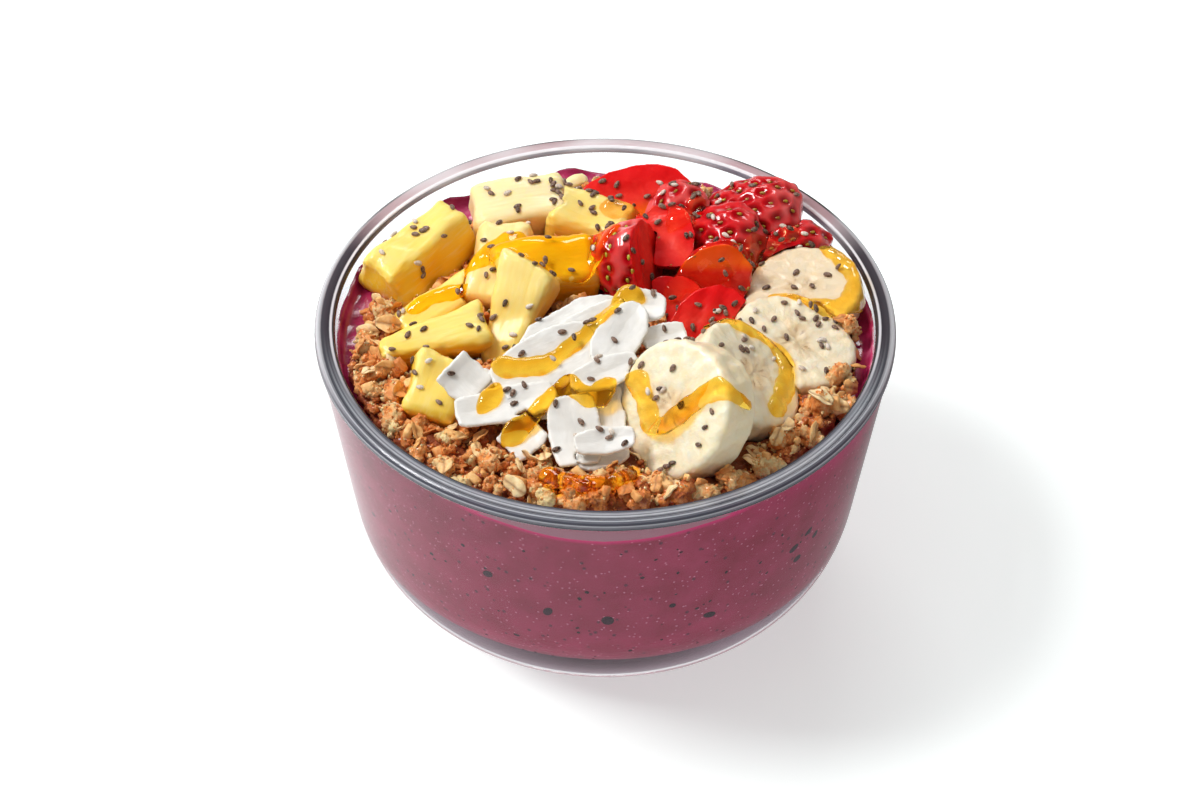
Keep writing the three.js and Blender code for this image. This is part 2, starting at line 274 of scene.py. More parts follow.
class Heap:
    """Finds what lies uppermost at a point of the plan."""

    def __init__(self, pieces):
        graph = bpy.context.evaluated_depsgraph_get()
        self.trees = []
        for piece in pieces:
            points = points_of(piece)
            self.trees.append((piece.name, BVHTree.FromObject(piece, graph), points.min(0), points.max(0)))

    def drop(self, x, y):
        """The name, place and normal of what is hit first from above."""
        best = None
        for name, tree, low, high in self.trees:
            if not (low[0] <= x <= high[0] and low[1] <= y <= high[1]):
                continue
            place, normal, _, _ = tree.ray_cast(Vector((x, y, OVERHEAD)), Vector((0, 0, -1)), OVERHEAD)
            if place and (best is None or place.z > best[1].z):
                best = (name, place, normal)
        return best

    def room(self, place):
        """The free height over a place on the bed."""
        hits = [tree.ray_cast(place + Vector((0, 0, 0.4 * MM)), Vector((0, 0, 1)), 0.1)[3]
                for name, tree, _, _ in self.trees if "granola" not in name]
        return min((hit for hit in hits if hit), default=0.1)


# ---- Materials ----
class Number:
    """A value that changes over a surface. Sums written on it add Math nodes."""

    def __init__(self, finish, socket):
        self.finish = finish
        self.socket = socket

    def math(self, operation, first, second=0.0):
        return self.finish.node("Math", {"operation": operation}, {0: first, 1: second})

    def __add__(self, other):
        return self.math("ADD", self, other)

    def __radd__(self, other):
        return self.math("ADD", other, self)

    def __sub__(self, other):
        return self.math("SUBTRACT", self, other)

    def __rsub__(self, other):
        return self.math("SUBTRACT", other, self)

    def __mul__(self, other):
        return self.math("MULTIPLY", self, other)

    def above(self, level, soft):
        """0 below a level and 1 above it, over a soft step."""
        return self.finish.node(
            "MapRange",
            {"interpolation_type": "SMOOTHSTEP"},
            {0: self, 1: level - soft, 2: level + soft, 3: 0.0, 4: 1.0},
        )


class Finish:
    """One material, or the studio's sky, built a node at a time."""

    def __init__(self, name, owner=None):
        self.owner = owner or bpy.data.materials.new(name)
        self.owner.use_nodes = True
        self.nodes = self.owner.node_tree.nodes
        self.links = self.owner.node_tree.links
        self.nodes.clear()

    def node(self, kind, settings, inputs, output=0):
        """One node's output. An input is linked if it varies, and set if it is constant."""
        made = self.nodes.new("ShaderNode" + kind)
        for key, value in settings.items():
            if key == "stops":
                stops = made.color_ramp.elements
                while len(stops) < len(value):
                    stops.new(0.5)
                for stop, (position, colour) in zip(stops, value):
                    stop.position = position
                    stop.color = colour
            else:
                setattr(made, key, value)
        for key, value in inputs.items():
            if isinstance(value, Number):
                self.links.new(value.socket, made.inputs[key])
            else:
                made.inputs[key].default_value = value
        return Number(self, made.outputs[output]) if made.outputs else None

    def place(self, output="Object"):
        return self.node("TexCoord", {}, {}, output)

    def ray(self, kind):
        """1 for rays of one kind, and 0 for all others."""
        return self.node("LightPath", {}, {}, f"Is {kind} Ray")

    def part(self, vector, axis):
        return self.node("SeparateXYZ", {}, {0: vector}, axis)

    def mark(self, name, output="Fac"):
        return self.node("Attribute", {"attribute_name": name}, {}, output)

    def stretched(self, place, *amounts):
        return self.node("VectorMath", {"operation": "MULTIPLY"}, {0: place, 1: amounts})

    def noise(self, place, size, detail=3.0, rough=0.55):
        inputs = {"Vector": place, "Scale": 1 / size, "Detail": detail, "Roughness": rough}
        return self.node("TexNoise", {}, inputs)

    def cells(self, place, size):
        return self.node("TexVoronoi", {}, {"Vector": place, "Scale": 1 / size})

    def ramp(self, value, *stops):
        return self.node("ValToRGB", {"stops": stops}, {0: value})

    def blend(self, amount, first, second):
        return self.node("Mix", {"data_type": "RGBA"}, {0: amount, 6: first, 7: second}, 2)

    def bump(self, height, depth):
        return self.node("Bump", {}, {"Height": height, "Distance": depth, "Strength": 1.0})

    def mixed(self, share, first, second):
        return self.node("MixShader", {}, {0: share, 1: first, 2: second})

    def surface(self, colour, roughness, relief=None, **constants):
        inputs = {"Base Color": colour, "Roughness": roughness}
        if relief:
            inputs["Normal"] = relief
        for key, value in constants.items():
            inputs[key.replace("_", " ").title().replace("Ior", "IOR")] = value
        return self.node("BsdfPrincipled", {}, inputs)

    def done(self, shader, output="OutputMaterial"):
        self.node(output, {}, {"Surface": shader})
        return self.owner


def tone(red, green, blue):
    """A colour given as it is seen on a screen, 0 to 255."""
    parts = [value / 255 for value in (red, green, blue)]
    return (*(((part + 0.055) / 1.055) ** 2.4 if part > 0.04 else part / 12.92 for part in parts), 1.0)


def grey(level):
    return (level, level, level, 1.0)


def see_through(finish, colour, roughness, ior, shade):
    """A clear body that lets lamps light what is in or under it."""
    body = finish.surface(colour, roughness, transmission_weight=1.0, ior=ior)
    shadow = finish.ray("Shadow")
    lighting = shadow.math("MAXIMUM", shadow, finish.ray("Diffuse"))
    through = finish.node("BsdfTransparent", {}, {"Color": shade})
    return finish.done(finish.mixed(lighting, body, through))


def rim_painted_reflections():
    """The rolled rim bends light so much that it looks like grey lines more than clear glass. Its lines
    and bands are painted reflections.
    """
    finish = Finish("rim")
    lines = finish.noise(finish.mark("round", "Vector"), 0.9 * MM, 3.0, 0.6)
    ring = finish.mark("ring") + (lines - 0.5) * 0.12
    behind = finish.mark("behind")
    # Painted reflections of the studio, fixed on the rim: dark and grey lines at the front, dark and
    # bright bands on the sides, and a thin line, a pale band, a brown band and a dark outer edge at the
    # back.
    front = finish.ramp(
        lines, (0.36, tone(38, 44, 52)), (0.52, tone(92, 96, 106)), (0.64, tone(204, 210, 216)))
    dark, bright = tone(56, 54, 60), tone(226, 226, 230)
    side = finish.ramp(
        ring, (0.02, dark), (0.12, dark), (0.16, bright), (0.24, bright), (0.3, dark),
        (0.64, tone(74, 72, 78)), (0.72, tone(170, 168, 172)), (0.9, bright), (0.98, tone(110, 106, 112)))
    line, pale, reflected_brown = tone(120, 116, 128), tone(246, 247, 250), tone(190, 158, 162)
    back = finish.ramp(
        ring, (0.0, line), (0.06, line), (0.1, pale), (0.24, pale), (0.32, reflected_brown), (0.7, reflected_brown),
        (0.8, tone(30, 24, 30)))
    # Pale patches of painted reflection along the back.
    cloud = finish.noise(finish.place(), 34 * MM, 1.0)
    back = finish.blend(cloud.above(0.52, 0.12) * 0.6, back, pale)
    colour = finish.blend(behind.above(-0.35, 0.3), front, side)
    colour = finish.blend(behind.above(0.5, 0.16), colour, back)
    return finish.done(finish.surface(
        colour, 0.08, finish.bump(lines, 0.15 * MM), specular_ior_level=0.3, transmission_weight=0.15,
        ior=1.5))


def smoothie_finish():
    """The side has a bright line under a greyish film at its level, and a painted deeper colour on its
    right, where the glass mirrors less light. At its foot a painted shade on the unlit underside lies over
    a paler band of painted light seen through the glass base."""
    finish = Finish("smoothie")
    place = finish.place()
    cloud = finish.noise(place, 9 * MM, 4.0)
    fine = finish.noise(place, 1.1 * MM, 2.0)
    side = finish.ramp(cloud, (0.3, tone(132, 14, 54)), (0.7, tone(156, 38, 78)))
    froth = 1 - finish.cells(place, 1.8 * MM).above(0.15, 0.05)
    side = finish.blend(froth * 0.6, side, tone(214, 132, 162))
    dots = finish.cells(finish.stretched(place, 1.0, 1.0, 0.8), 3.4 * MM)
    side = finish.blend((1 - dots.above(0.14, 0.06)) * 0.8, side, tone(64, 16, 46))
    over = finish.mark("over")
    colour = finish.blend(over.above(0.0, 0.15), side, tone(158, 104, 120))
    meeting = (over.above(-0.9, 0.9) - over.above(0.1, 0.15)) * 0.9
    colour = finish.blend(meeting, colour, tone(206, 16, 104))
    # Painted light and shade: a deeper colour on the right, where the glass mirrors less light, a painted
    # shade on the unlit underside, and a paler band of painted light seen through the glass base.
    colour = finish.blend(finish.mark("vivid") * 0.7, colour, tone(196, 18, 100))
    colour = finish.blend(finish.mark("under"), colour, tone(66, 34, 56))
    colour = finish.blend(finish.mark("base").above(0.4, 0.2), colour, tone(140, 111, 129))
    top = finish.mark("top")
    crimson = finish.ramp(
        cloud, (0.3, tone(152, 22, 66)), (0.55, tone(184, 52, 98)), (0.75, tone(214, 118, 150)))
    colour = finish.blend(top, colour, crimson)
    bump = finish.bump(cloud + fine * 0.25, 0.6 * MM)
    return finish.done(finish.surface(
        colour, 0.42 - top * 0.24, bump, specular_ior_level=0.15, coat_weight=top, coat_roughness=0.14,
        subsurface_weight=0.15, subsurface_radius=(1.0, 0.3, 0.4), subsurface_scale=2 * MM))


def pineapple_finish():
    finish = Finish("pineapple")
    grain = finish.mark("grain", "Vector")
    fibre = finish.noise(finish.stretched(grain, 0.16, 1.0, 1.0), 1.0 * MM, 3.0, 0.55)
    broad = finish.noise(finish.stretched(grain, 0.5, 1.0, 1.0), 5 * MM, 2.0)
    flesh = finish.ramp(
        finish.mark("lit") + (broad - 0.5) * 0.35, (0.15, tone(255, 184, 22)),
        (0.45, tone(255, 199, 42)), (0.65, tone(255, 210, 72)), (0.9, tone(255, 223, 124)))
    flesh = finish.blend(0.8 - finish.mark("ripe") * 1.45, flesh, tone(255, 236, 200))
    # Paler on standing edges, a painted light where the thin flesh lets light through, and paler on some
    # fibres, their own colour.
    pale = finish.mark("edge") * 0.45 + fibre.above(0.58, 0.12) * 0.22
    colour = finish.blend(pale, flesh, tone(255, 231, 164))
    colour = finish.blend((1 - fibre.above(0.4, 0.1)) * 0.08, colour, tone(250, 190, 50))
    bump = finish.bump(fibre + broad * 0.5, 0.1 * MM)
    return finish.done(finish.surface(
        colour, 0.24 + fibre * 0.2, bump, specular_ior_level=0.2, subsurface_weight=0.45,
        subsurface_radius=(1.0, 0.8, 0.3), subsurface_scale=4 * MM, coat_weight=0.25, coat_roughness=0.1))


def strawberry_finish():
    finish = Finish("strawberry")
    grain = finish.mark("grain", "Vector")
    cut = finish.mark("cut")
    mottle = finish.noise(grain, 2.4 * MM, 3.0)
    streak = finish.noise(grain, 1.7 * MM, 2.0)
    skin = finish.ramp(mottle, (0.3, tone(202, 2, 18)), (0.7, tone(230, 14, 28)))
    # Paler on the shoulder, its own colour, and between the seeds, a painted highlight; darker in the
    # pits, a painted shade.
    skin = finish.blend(finish.mark("pale") * 0.7, skin, tone(246, 128, 124))
    skin = finish.blend(finish.mark("pit") * 0.75, skin, tone(140, 0, 10))
    flesh = finish.ramp(
        streak, (0.2, tone(228, 12, 18)), (0.55, tone(232, 18, 22)), (0.9, tone(238, 34, 30)))
    flesh = finish.blend(finish.mark("core") * (0.05 + streak * 0.3), flesh, tone(246, 110, 80))
    flesh = finish.blend(finish.mark("glow") * 0.9, flesh, tone(255, 112, 14))
    colour = finish.blend(cut, skin, flesh)
    bump = finish.bump(streak * cut * 0.25 + mottle * (1 - cut) * 0.5, 0.16 * MM)
    return finish.done(finish.surface(
        colour, 0.2 + cut * 0.12, bump, specular_ior_level=0.2, subsurface_weight=0.3,
        subsurface_radius=(1.0, 0.15, 0.08), subsurface_scale=2.5 * MM, coat_weight=0.6 - cut * 0.35,
        coat_roughness=0.08))


def banana_finish():
    finish = Finish("banana")
    grain = finish.mark("grain", "Vector")
    soft = finish.noise(grain, 4 * MM, 3.0)
    fine = finish.noise(grain, 0.9 * MM, 3.0, 0.65)
    flesh = finish.ramp(soft, (0.3, tone(254, 232, 190)), (0.7, tone(255, 248, 224)))
    flesh = finish.blend(fine.above(0.62, 0.08) * 0.4, flesh, tone(252, 246, 232))
    flesh = finish.blend(finish.mark("side") * 0.55, flesh, tone(240, 220, 178))
    flesh = finish.blend(finish.mark("heart") * 0.75, flesh, tone(214, 176, 122))
    flesh = finish.blend(finish.mark("moist") * (0.4 + soft), flesh, tone(214, 190, 152))
    colour = finish.blend(finish.mark("spot"), flesh, tone(150, 96, 52))
    bump = finish.bump(fine + soft * 0.6, 0.18 * MM)
    return finish.done(finish.surface(
        colour, 0.38, bump, subsurface_weight=0.35, subsurface_radius=(1.0, 0.75, 0.45),
        subsurface_scale=2.5 * MM, coat_weight=0.3, coat_roughness=0.2))


def coconut_finish():
    finish = Finish("coconut")
    grain = finish.mark("grain", "Vector")
    lines = finish.noise(finish.stretched(grain, 0.25, 1.0, 1.0), 1.2 * MM, 2.0)
    cloud = finish.noise(grain, 6 * MM, 2.0)
    colour = finish.ramp(cloud, (0.3, tone(227, 224, 218)), (0.7, tone(243, 241, 236)))
    colour = finish.blend((1 - lines.above(0.42, 0.1)) * 0.2, colour, tone(232, 230, 224))
    bump = finish.bump(lines + cloud * 0.5, 0.15 * MM)
    return finish.done(finish.surface(
        colour, 0.36, bump, subsurface_weight=0.25, subsurface_radius=(1.0, 0.95, 0.88),
        subsurface_scale=1.2 * MM))


def granola_finish():
    finish = Finish("granola")
    place = finish.place()
    cloud = finish.noise(place, 2.6 * MM, 4.0, 0.6)
    grit = finish.cells(place, 1.1 * MM)
    fine = finish.noise(place, 0.45 * MM, 3.0, 0.7)
    amount = cloud * 0.7 + fine * 0.35 + finish.mark("tint") * 0.5 - 0.22
    colour = finish.ramp(
        amount, (0.24, tone(170, 70, 22)), (0.5, tone(252, 152, 68)), (0.74, tone(255, 223, 160)))
    # The bed is darker, a painted shade where it lies under the clusters.
    colour = finish.blend(finish.mark("low") * 0.5, colour, tone(124, 56, 22))
    bump = finish.bump(grit * -0.8 + fine, 0.5 * MM)
    return finish.done(finish.surface(
        colour, 0.5 + fine * 0.25, bump, subsurface_weight=0.12, subsurface_radius=(1.0, 0.5, 0.25),
        subsurface_scale=1.2 * MM, coat_weight=0.5, coat_roughness=0.15))


def oat_finish():
    finish = Finish("oat")
    place = finish.place()
    cloud = finish.noise(place, 1.6 * MM, 3.0)
    fine = finish.noise(place, 0.4 * MM, 2.0)
    colour = finish.ramp(
        cloud * 0.6 + finish.mark("tint") * 0.6 - 0.1,
        (0.2, tone(214, 128, 60)), (0.5, tone(246, 188, 116)), (0.85, tone(255, 230, 180)))
    # Darker along the crease, a painted shade.
    colour = finish.blend(finish.mark("crease") * 0.7, colour, tone(150, 88, 42))
    return finish.done(finish.surface(
        colour, 0.55, finish.bump(cloud + fine * 0.6, 0.25 * MM), subsurface_weight=0.15,
        subsurface_radius=(1.0, 0.7, 0.4), subsurface_scale=1 * MM))


def honey_finish(name, edge, thin, thick, shade):
    """Deeper in colour where it is thicker, which a clear body would not show."""
    finish = Finish(name)
    swirl = finish.noise(finish.place(), 5 * MM, 2.0)
    deep = finish.mark("deep") + (swirl - 0.5) * 0.9
    # The darker edge colour is a painted shade, as bent light darkens the honey's rim.
    colour = finish.ramp(deep, (0.06, edge), (0.3, thin), (0.95, thick))
    return see_through(finish, colour, 0.03, 1.47, shade)


def seed_finish(name, dark, light, mottled, gloss=0.5):
    finish = Finish(name)
    marks = finish.noise(finish.place(), 0.5 * MM, 3.0, 0.7)
    amount = finish.mark("tint") * (1 - mottled) + marks.above(0.5, 0.12) * mottled
    colour = finish.ramp(amount, (0.0, dark), (1.0, light))
    return finish.done(finish.surface(
        colour, 0.32, finish.bump(marks, 0.06 * MM), specular_ior_level=gloss, coat_weight=gloss * 0.6,
        coat_roughness=0.2))


GLASS = see_through(Finish("glass"), (0.93, 0.942, 0.96, 1.0), 0.0, 1.5, (0.96, 0.97, 0.97, 1.0))
HONEY = honey_finish(
    "honey", tone(236, 146, 16), tone(255, 210, 56), tone(252, 178, 28), tone(255, 226, 134))
PALE_HONEY = honey_finish(
    "honey_pale", tone(240, 166, 34), tone(255, 222, 96), tone(254, 200, 60), tone(255, 232, 150))
FILM = honey_finish(
    "honey_film", tone(250, 166, 10), tone(255, 214, 50), tone(254, 188, 12), tone(255, 230, 110))
GLAZE = honey_finish(
    "honey_glaze", tone(252, 180, 110), tone(255, 226, 176), tone(255, 208, 144), tone(255, 226, 184))
RIM = rim_painted_reflections()
SMOOTHIE = smoothie_finish()
PINEAPPLE = pineapple_finish()
STRAWBERRY = strawberry_finish()
BANANA = banana_finish()
COCONUT = coconut_finish()
GRANOLA = granola_finish()
OAT = oat_finish()
CHIA_DARK = seed_finish("chia_dark", tone(44, 28, 22), tone(164, 134, 116), 0.55, 0.25)
CHIA_PALE = seed_finish("chia_pale", tone(190, 168, 150), tone(246, 238, 226), 0.5, 0.25)
BERRY_SEED = seed_finish("berry_seed", tone(150, 44, 18), tone(196, 206, 60), 0.3)
SUNK_SEED = seed_finish("sunk_seed", tone(34, 18, 30), tone(66, 30, 50), 0.4, 0.0)


# ---- Bowl and smoothie ----
def bent(start, control, end, steps):
    """Points along a curve from start to end that leans towards a control point."""
    shares = [i / steps for i in range(1, steps + 1)]
    return [tuple((1 - s) ** 2 * a + 2 * s * (1 - s) * b + s * s * c
                  for a, b, c in zip(start, control, end)) for s in shares]


def turned(name, profile, steps):
    """A closed body spun round Z from a profile of radii and heights."""
    points = [(radius, 0, height) for radius, height in profile]
    edges = [(i, i + 1) for i in range(len(points) - 1)]
    piece = new_piece(name, points, edges)
    whole = {"steps": steps, "angle": 2 * math.pi, "center": (0, 0, 0), "axis": (0, 0, 1)}
    edit(piece, (bpy.ops.mesh.spin, whole),
         (bpy.ops.mesh.remove_doubles, {"threshold": 1e-6}),
         (bpy.ops.mesh.normals_make_consistent, {"inside": False}))
    return piece


# Radii and heights of the bowl's outside, and of its inside.
FOOT = 42 * MM
CORNER = (68.4 * MM, 26 * MM)
WALL_TOP = (75.3 * MM, 76.9 * MM)
INNER_CORNER = (64.1 * MM, 30 * MM)
INNER_TOP = (RIM_RADIUS - 5.4 * MM, BOWL_HEIGHT - 1.4 * MM)
BASE = 12 * MM
INNER_SLOPE = (INNER_TOP[0] - INNER_CORNER[0]) / (INNER_TOP[1] - INNER_CORNER[1])
INNER_BEND = (INNER_CORNER[0] - 5.6 * MM, BASE)


def inner_radius(height):
    return INNER_CORNER[0] + (height - INNER_CORNER[1]) * INNER_SLOPE


def glass_profile():
    out, up = WALL_TOP[0] - CORNER[0], WALL_TOP[1] - CORNER[1]
    profile = [(0, 0), (FOOT * 0.5, 0), (FOOT, 0)]
    profile += bent(profile[-1], (CORNER[0] - out / up * CORNER[1], 0), CORNER, 16)
    profile += [(CORNER[0] + out * s, CORNER[1] + up * s) for s in (0.03, 0.25, 0.5, 0.75, 0.95, 0.99, 1)]
    profile += bent(profile[-1], (RIM_RADIUS, WALL_TOP[1] + 0.3 * MM),
                    (RIM_RADIUS, BOWL_HEIGHT - 1.7 * MM), 6)
    profile += bent(profile[-1], (RIM_RADIUS, BOWL_HEIGHT), (RIM_RADIUS - 1.8 * MM, BOWL_HEIGHT), 10)
    profile += bent((INNER_TOP[0] + 1.4 * MM, BOWL_HEIGHT), (INNER_TOP[0], BOWL_HEIGHT), INNER_TOP, 10)
    profile += [(inner_radius(h * MM), h * MM) for h in (78, 76, 66, 54, 42, 32, 30)]
    profile += bent(profile[-1], INNER_BEND, (FOOT - 8 * MM, BASE), 16)
    return profile + [(FOOT * 0.45, BASE), (0, BASE)]


def glass_bowl():
    bowl = turned("bowl", glass_profile(), steps=160)
    points = points_of(bowl)
    radius = np.hypot(points[:, 0], points[:, 1])
    # Places that set the rim's painted reflections: round its profile, across the rim, and front to back.
    mark(bowl, "round", np.stack([radius, points[:, 2], np.zeros(len(points))], 1))
    mark(bowl, "ring", (radius - INNER_TOP[0]) / (RIM_RADIUS - INNER_TOP[0]))
    mark(bowl, "behind", points[:, 1] / np.maximum(radius, MM))
    return bowl


def smoothie_profile(level):
    """Reaches just into the glass, so that no air shows between them."""
    into = 0.25 * MM
    corner = (INNER_CORNER[0] + into, INNER_CORNER[1])
    profile = [(0, BASE - into), (FOOT * 0.5, BASE - into), (FOOT - 8 * MM, BASE - into)]
    profile += bent(profile[-1], (INNER_BEND[0] + into, BASE - into), corner, 16)
    profile += [(inner_radius(h * MM) + into, h * MM) for h in range(32, 70, 2)]
    profile += [(inner_radius(level - drop) + into, level - drop)
                for drop in (2 * MM, 1.2 * MM, 0.5 * MM)]
    profile += [(inner_radius(level) - out, level) for out in (0, 0.5 * MM, 1.2 * MM)]
    profile += [(inner_radius(level) - out * MM, level) for out in range(2, 40)]
    return profile + [(10 * MM, level), (0, level)]


def smoothie_fill():
    """Smears up the wall, and a lumpy top."""
    level = SMOOTHIE_LEVEL
    piece = turned("smoothie_fill", smoothie_profile(level), steps=200)
    points = points_of(piece)
    radius = np.hypot(points[:, 0], points[:, 1])
    angle = np.arctan2(points[:, 1], points[:, 0])
    gap = np.clip(inner_radius(points[:, 2]) - radius, 0, 1)
    top = np.clip((points[:, 2] - (level - 0.6 * MM)) / (0.5 * MM), 0, 1)
    near_top = np.clip((points[:, 2] - (level - 3 * MM)) / (3 * MM), 0, 1)
    creep = np.exp(-gap / (1.1 * MM)) * near_top
    uneven = 0.5 + 0.9 * np.sin(angle * 3 + 1) + 0.6 * np.sin(angle * 11 + 2) + 0.4 * np.sin(angle * 23)
    away = np.clip(0.5 + points[:, 1] / (50 * MM), 0, 1)
    lift = creep * np.clip(uneven, 0.1, 4) * away * 1.1 * MM
    front = np.clip(0.9 - 1.2 * points[:, 1] / np.maximum(radius, MM), 0, 1)
    shell = np.exp(-gap / (0.4 * MM)) * near_top
    lift += shell * front * (4.4 + 0.4 * np.sin(angle * 9)) * MM
    lumps = top * (waves(points, 14 * MM, 3) * 0.45 + waves(points, 5 * MM, 4) * 0.25) * MM
    points[:, 2] += lift + lumps
    points[:, :2] *= (1 + INNER_SLOPE * lift / np.maximum(radius, MM))[:, None]
    move_points(piece, points)
    mark(piece, "top", top)
    spread = math.radians(33)
    aside = np.abs(angle + math.pi / 2) / spread
    aside = np.minimum(aside, 2 * math.pi / spread - aside)
    rise = np.clip(6 * aside ** 1.2, 0, 12) + 0.4 * np.sin(angle * 7) + 0.2 * np.sin(angle * 19)
    edge = level + (rise - 2.4) * MM
    # Painted shade on the unlit underside, and painted light seen through the glass base towards the edge
    # of the bottom.
    mark(piece, "under", np.clip((16 * MM - points[:, 2]) / (4 * MM), 0, 1))
    mark(piece, "base", np.clip(radius / (50 * MM), 0, 1) * (points[:, 2] < 14 * MM))
    # Painted shade: a deeper colour on the right side, where the glass mirrors less light.
    right = np.exp(-((angle - math.radians(-28)) / math.radians(24)) ** 2)
    mark(piece, "vivid", np.clip((points[:, 2] - level) / (9 * MM) + 0.7, 0, 1) * right * (1 - top))
    mark(piece, "over", (points[:, 2] - edge) / MM * (1 - top) - 9 * top)
    return piece


bowl = finished(glass_bowl(), GLASS, ["glass_bowl"])
# The rim's top and rolled edge take the painted reflections.
bowl.data.materials.append(RIM)
for face in bowl.data.polygons:
    outside = math.hypot(*face.center.xy) > INNER_TOP[0] + 1 * MM
    face.material_index = int(face.center.z > (WALL_TOP[1] if outside else INNER_TOP[1]))
filling = finished(smoothie_fill(), SMOOTHIE, ["smoothie"])


# ---- Fruit and coconut ----
# The flat facets that the CAD solids were spun in.
BERRY_FACETS = 12
BANANA_FACETS = 22
SEEDS_PER_AREA = 0.55  # for each square millimetre of half a berry's length by half its width
SEED_SPIRAL = 137.5  # degrees from one seed to the next


def topping(node, way, voxel, smoothing):
    """A food, its turn, its points, and the same points in its own axes."""
    piece = food(node, voxel, smoothing)
    turn = turn_of(*way)
    points = points_of(piece)
    return piece, turn, points, own_places(points, turn)


def pineapple(node, way, seed):
    *way, ripe = way
    piece, _, points, own = topping(node, way, voxel=0.42 * MM, smoothing=13)
    edge = convexity(piece, rounds=14, full=0.5 * MM)
    fibres = waves(own * (0.12, 1, 1), 1.6 * MM, seed) * 0.02
    fibres += waves(own * (0.8, 1, 1), 13 * MM, seed + 1) * 0.6
    ragged = waves(own, 3 * MM, seed + 2) * 0.45 * edge
    points += normals_of(piece) * ((fibres + ragged) * MM)[:, None]
    move_points(piece, points)
    low, high = points[:, 2].min(), points[:, 2].max()
    height = (points[:, 2] - low) / (high - low)
    mark(piece, "grain", own)
    # edge pales the standing edges with painted light.
    mark(piece, "edge", edge)
    mark(piece, "lit", 0.5 * height + 0.5 * np.clip(normals_of(piece) @ (-0.2, -0.3, 0.93), 0, 1))
    mark(piece, "ripe", np.full(len(points), ripe))
    return finished(piece, PINEAPPLE, [node])


def seeds_on(piece, side, turn, half, middle):
    """Places and normals of a berry's own seeds, in a spiral round its skin."""
    tree = BVHTree.FromObject(piece, bpy.context.evaluated_depsgraph_get())
    seeds = []
    count = int(half[0] * half[1] / (MM * MM) * SEEDS_PER_AREA)
    for i in range(count):
        from_middle = (2 * (i + 0.5) / count - 1) * half[0] * 0.97
        round_axis = i * math.radians(SEED_SPIRAL) + 0.12 * math.sin(i * 5.1)
        axis = np.array([from_middle, 0, side * half[2] * 0.9])
        out = np.array([0, math.cos(round_axis), math.sin(round_axis)])
        start = (axis + out * 0.04 + middle) @ turn.T
        way_in = -(out @ turn.T)
        place, normal, _, _ = tree.ray_cast(Vector(start), Vector(way_in), 0.05)
        if place is None:
            continue
        own_normal = np.array(normal) @ turn
        on_cut, on_end = side * own_normal[2] > 0.5, abs(own_normal[0]) > 0.93
        if not (on_cut or on_end or np.dot(own_normal, out) < 0.35):
            seeds.append((np.array(place), np.array(normal)))
    return seeds


def strawberry(node, way, seed):
    """The flat cut is the plane at the top or bottom of the berry's own height."""
    *way, side, sheen_between_seeds, glow = way
    piece, turn, points, own = topping(node, way, voxel=0.36 * MM, smoothing=10)
    half = (own.max(0) - own.min(0)) / 2
    axis = np.array((0, 0, side * (half[1] - half[2])))
    from_axis = (own - axis) * (0, 1, 1)
    growth = roundness(np.arctan2(from_axis[:, 2], from_axis[:, 1]), BERRY_FACETS)
    grown = growth[:, None] * from_axis - from_axis
    own += grown
    points += grown @ turn.T
    move_points(piece, points)
    normals = normals_of(piece) @ turn
    flat = side * own[:, 2] - half[2]
    cut = np.clip((flat + 0.9 * MM) / (0.5 * MM), 0, 1)
    cut *= np.clip((side * normals[:, 2] - 0.2) / 0.4, 0, 1)
    points -= (side * flat * cut ** 2)[:, None] * turn[:, 2]
    move_points(piece, points)
    middle = (points @ turn).min(0) + half
    seeds = seeds_on(piece, side, turn, half, middle)
    pit = np.zeros(len(points))
    if seeds:
        centres = np.array([place for place, _ in seeds]) @ turn - middle
        gap = own[:, None, :] - centres[None, :, :]
        far = np.sqrt(((gap * (0.78, 1, 1)) ** 2).sum(2)).min(1)
        pit = np.exp(-((far / (1.5 * MM)) ** 2)) * (1 - cut)
    swell = waves(own, 7 * MM, seed) * 0.25 + waves(own, 1.6 * MM, seed + 1) * 0.02 * cut
    points += normals_of(piece) * ((swell - pit) * MM)[:, None]
    move_points(piece, points)
    shoulder = np.clip((-own[:, 0] / half[0] - 0.25) / 0.6, 0, 1)
    mark(piece, "grain", own)
    mark(piece, "cut", cut)
    # The pits are darkened as a painted shade, and the skin between them paled as a painted highlight; the
    # shoulder is paler in its own colour.
    mark(piece, "pit", np.clip(pit * 1.3, 0, 1))
    pale = shoulder * (0.6 + 0.4 * waves(own, 4 * MM, seed + 3))
    pale += sheen_between_seeds * np.clip((0.34 - pit) / 0.3, 0, 1)
    mark(piece, "pale", np.clip(pale, 0, 1) * (1 - cut))
    mark(piece, "core", np.exp(-((own[:, 1] / (0.4 * half[1])) ** 2)) * cut)
    low, high = points[cut > 0.5, 2].min(), points[cut > 0.5, 2].max()
    share = (points[:, 2] - low) / (high - low)
    share = share if glow > 0 else 1 - share
    mark(piece, "glow", np.clip((abs(glow) - share) / 0.14, 0, 1) * cut)
    return finished(piece, STRAWBERRY, [node]), seeds, turn


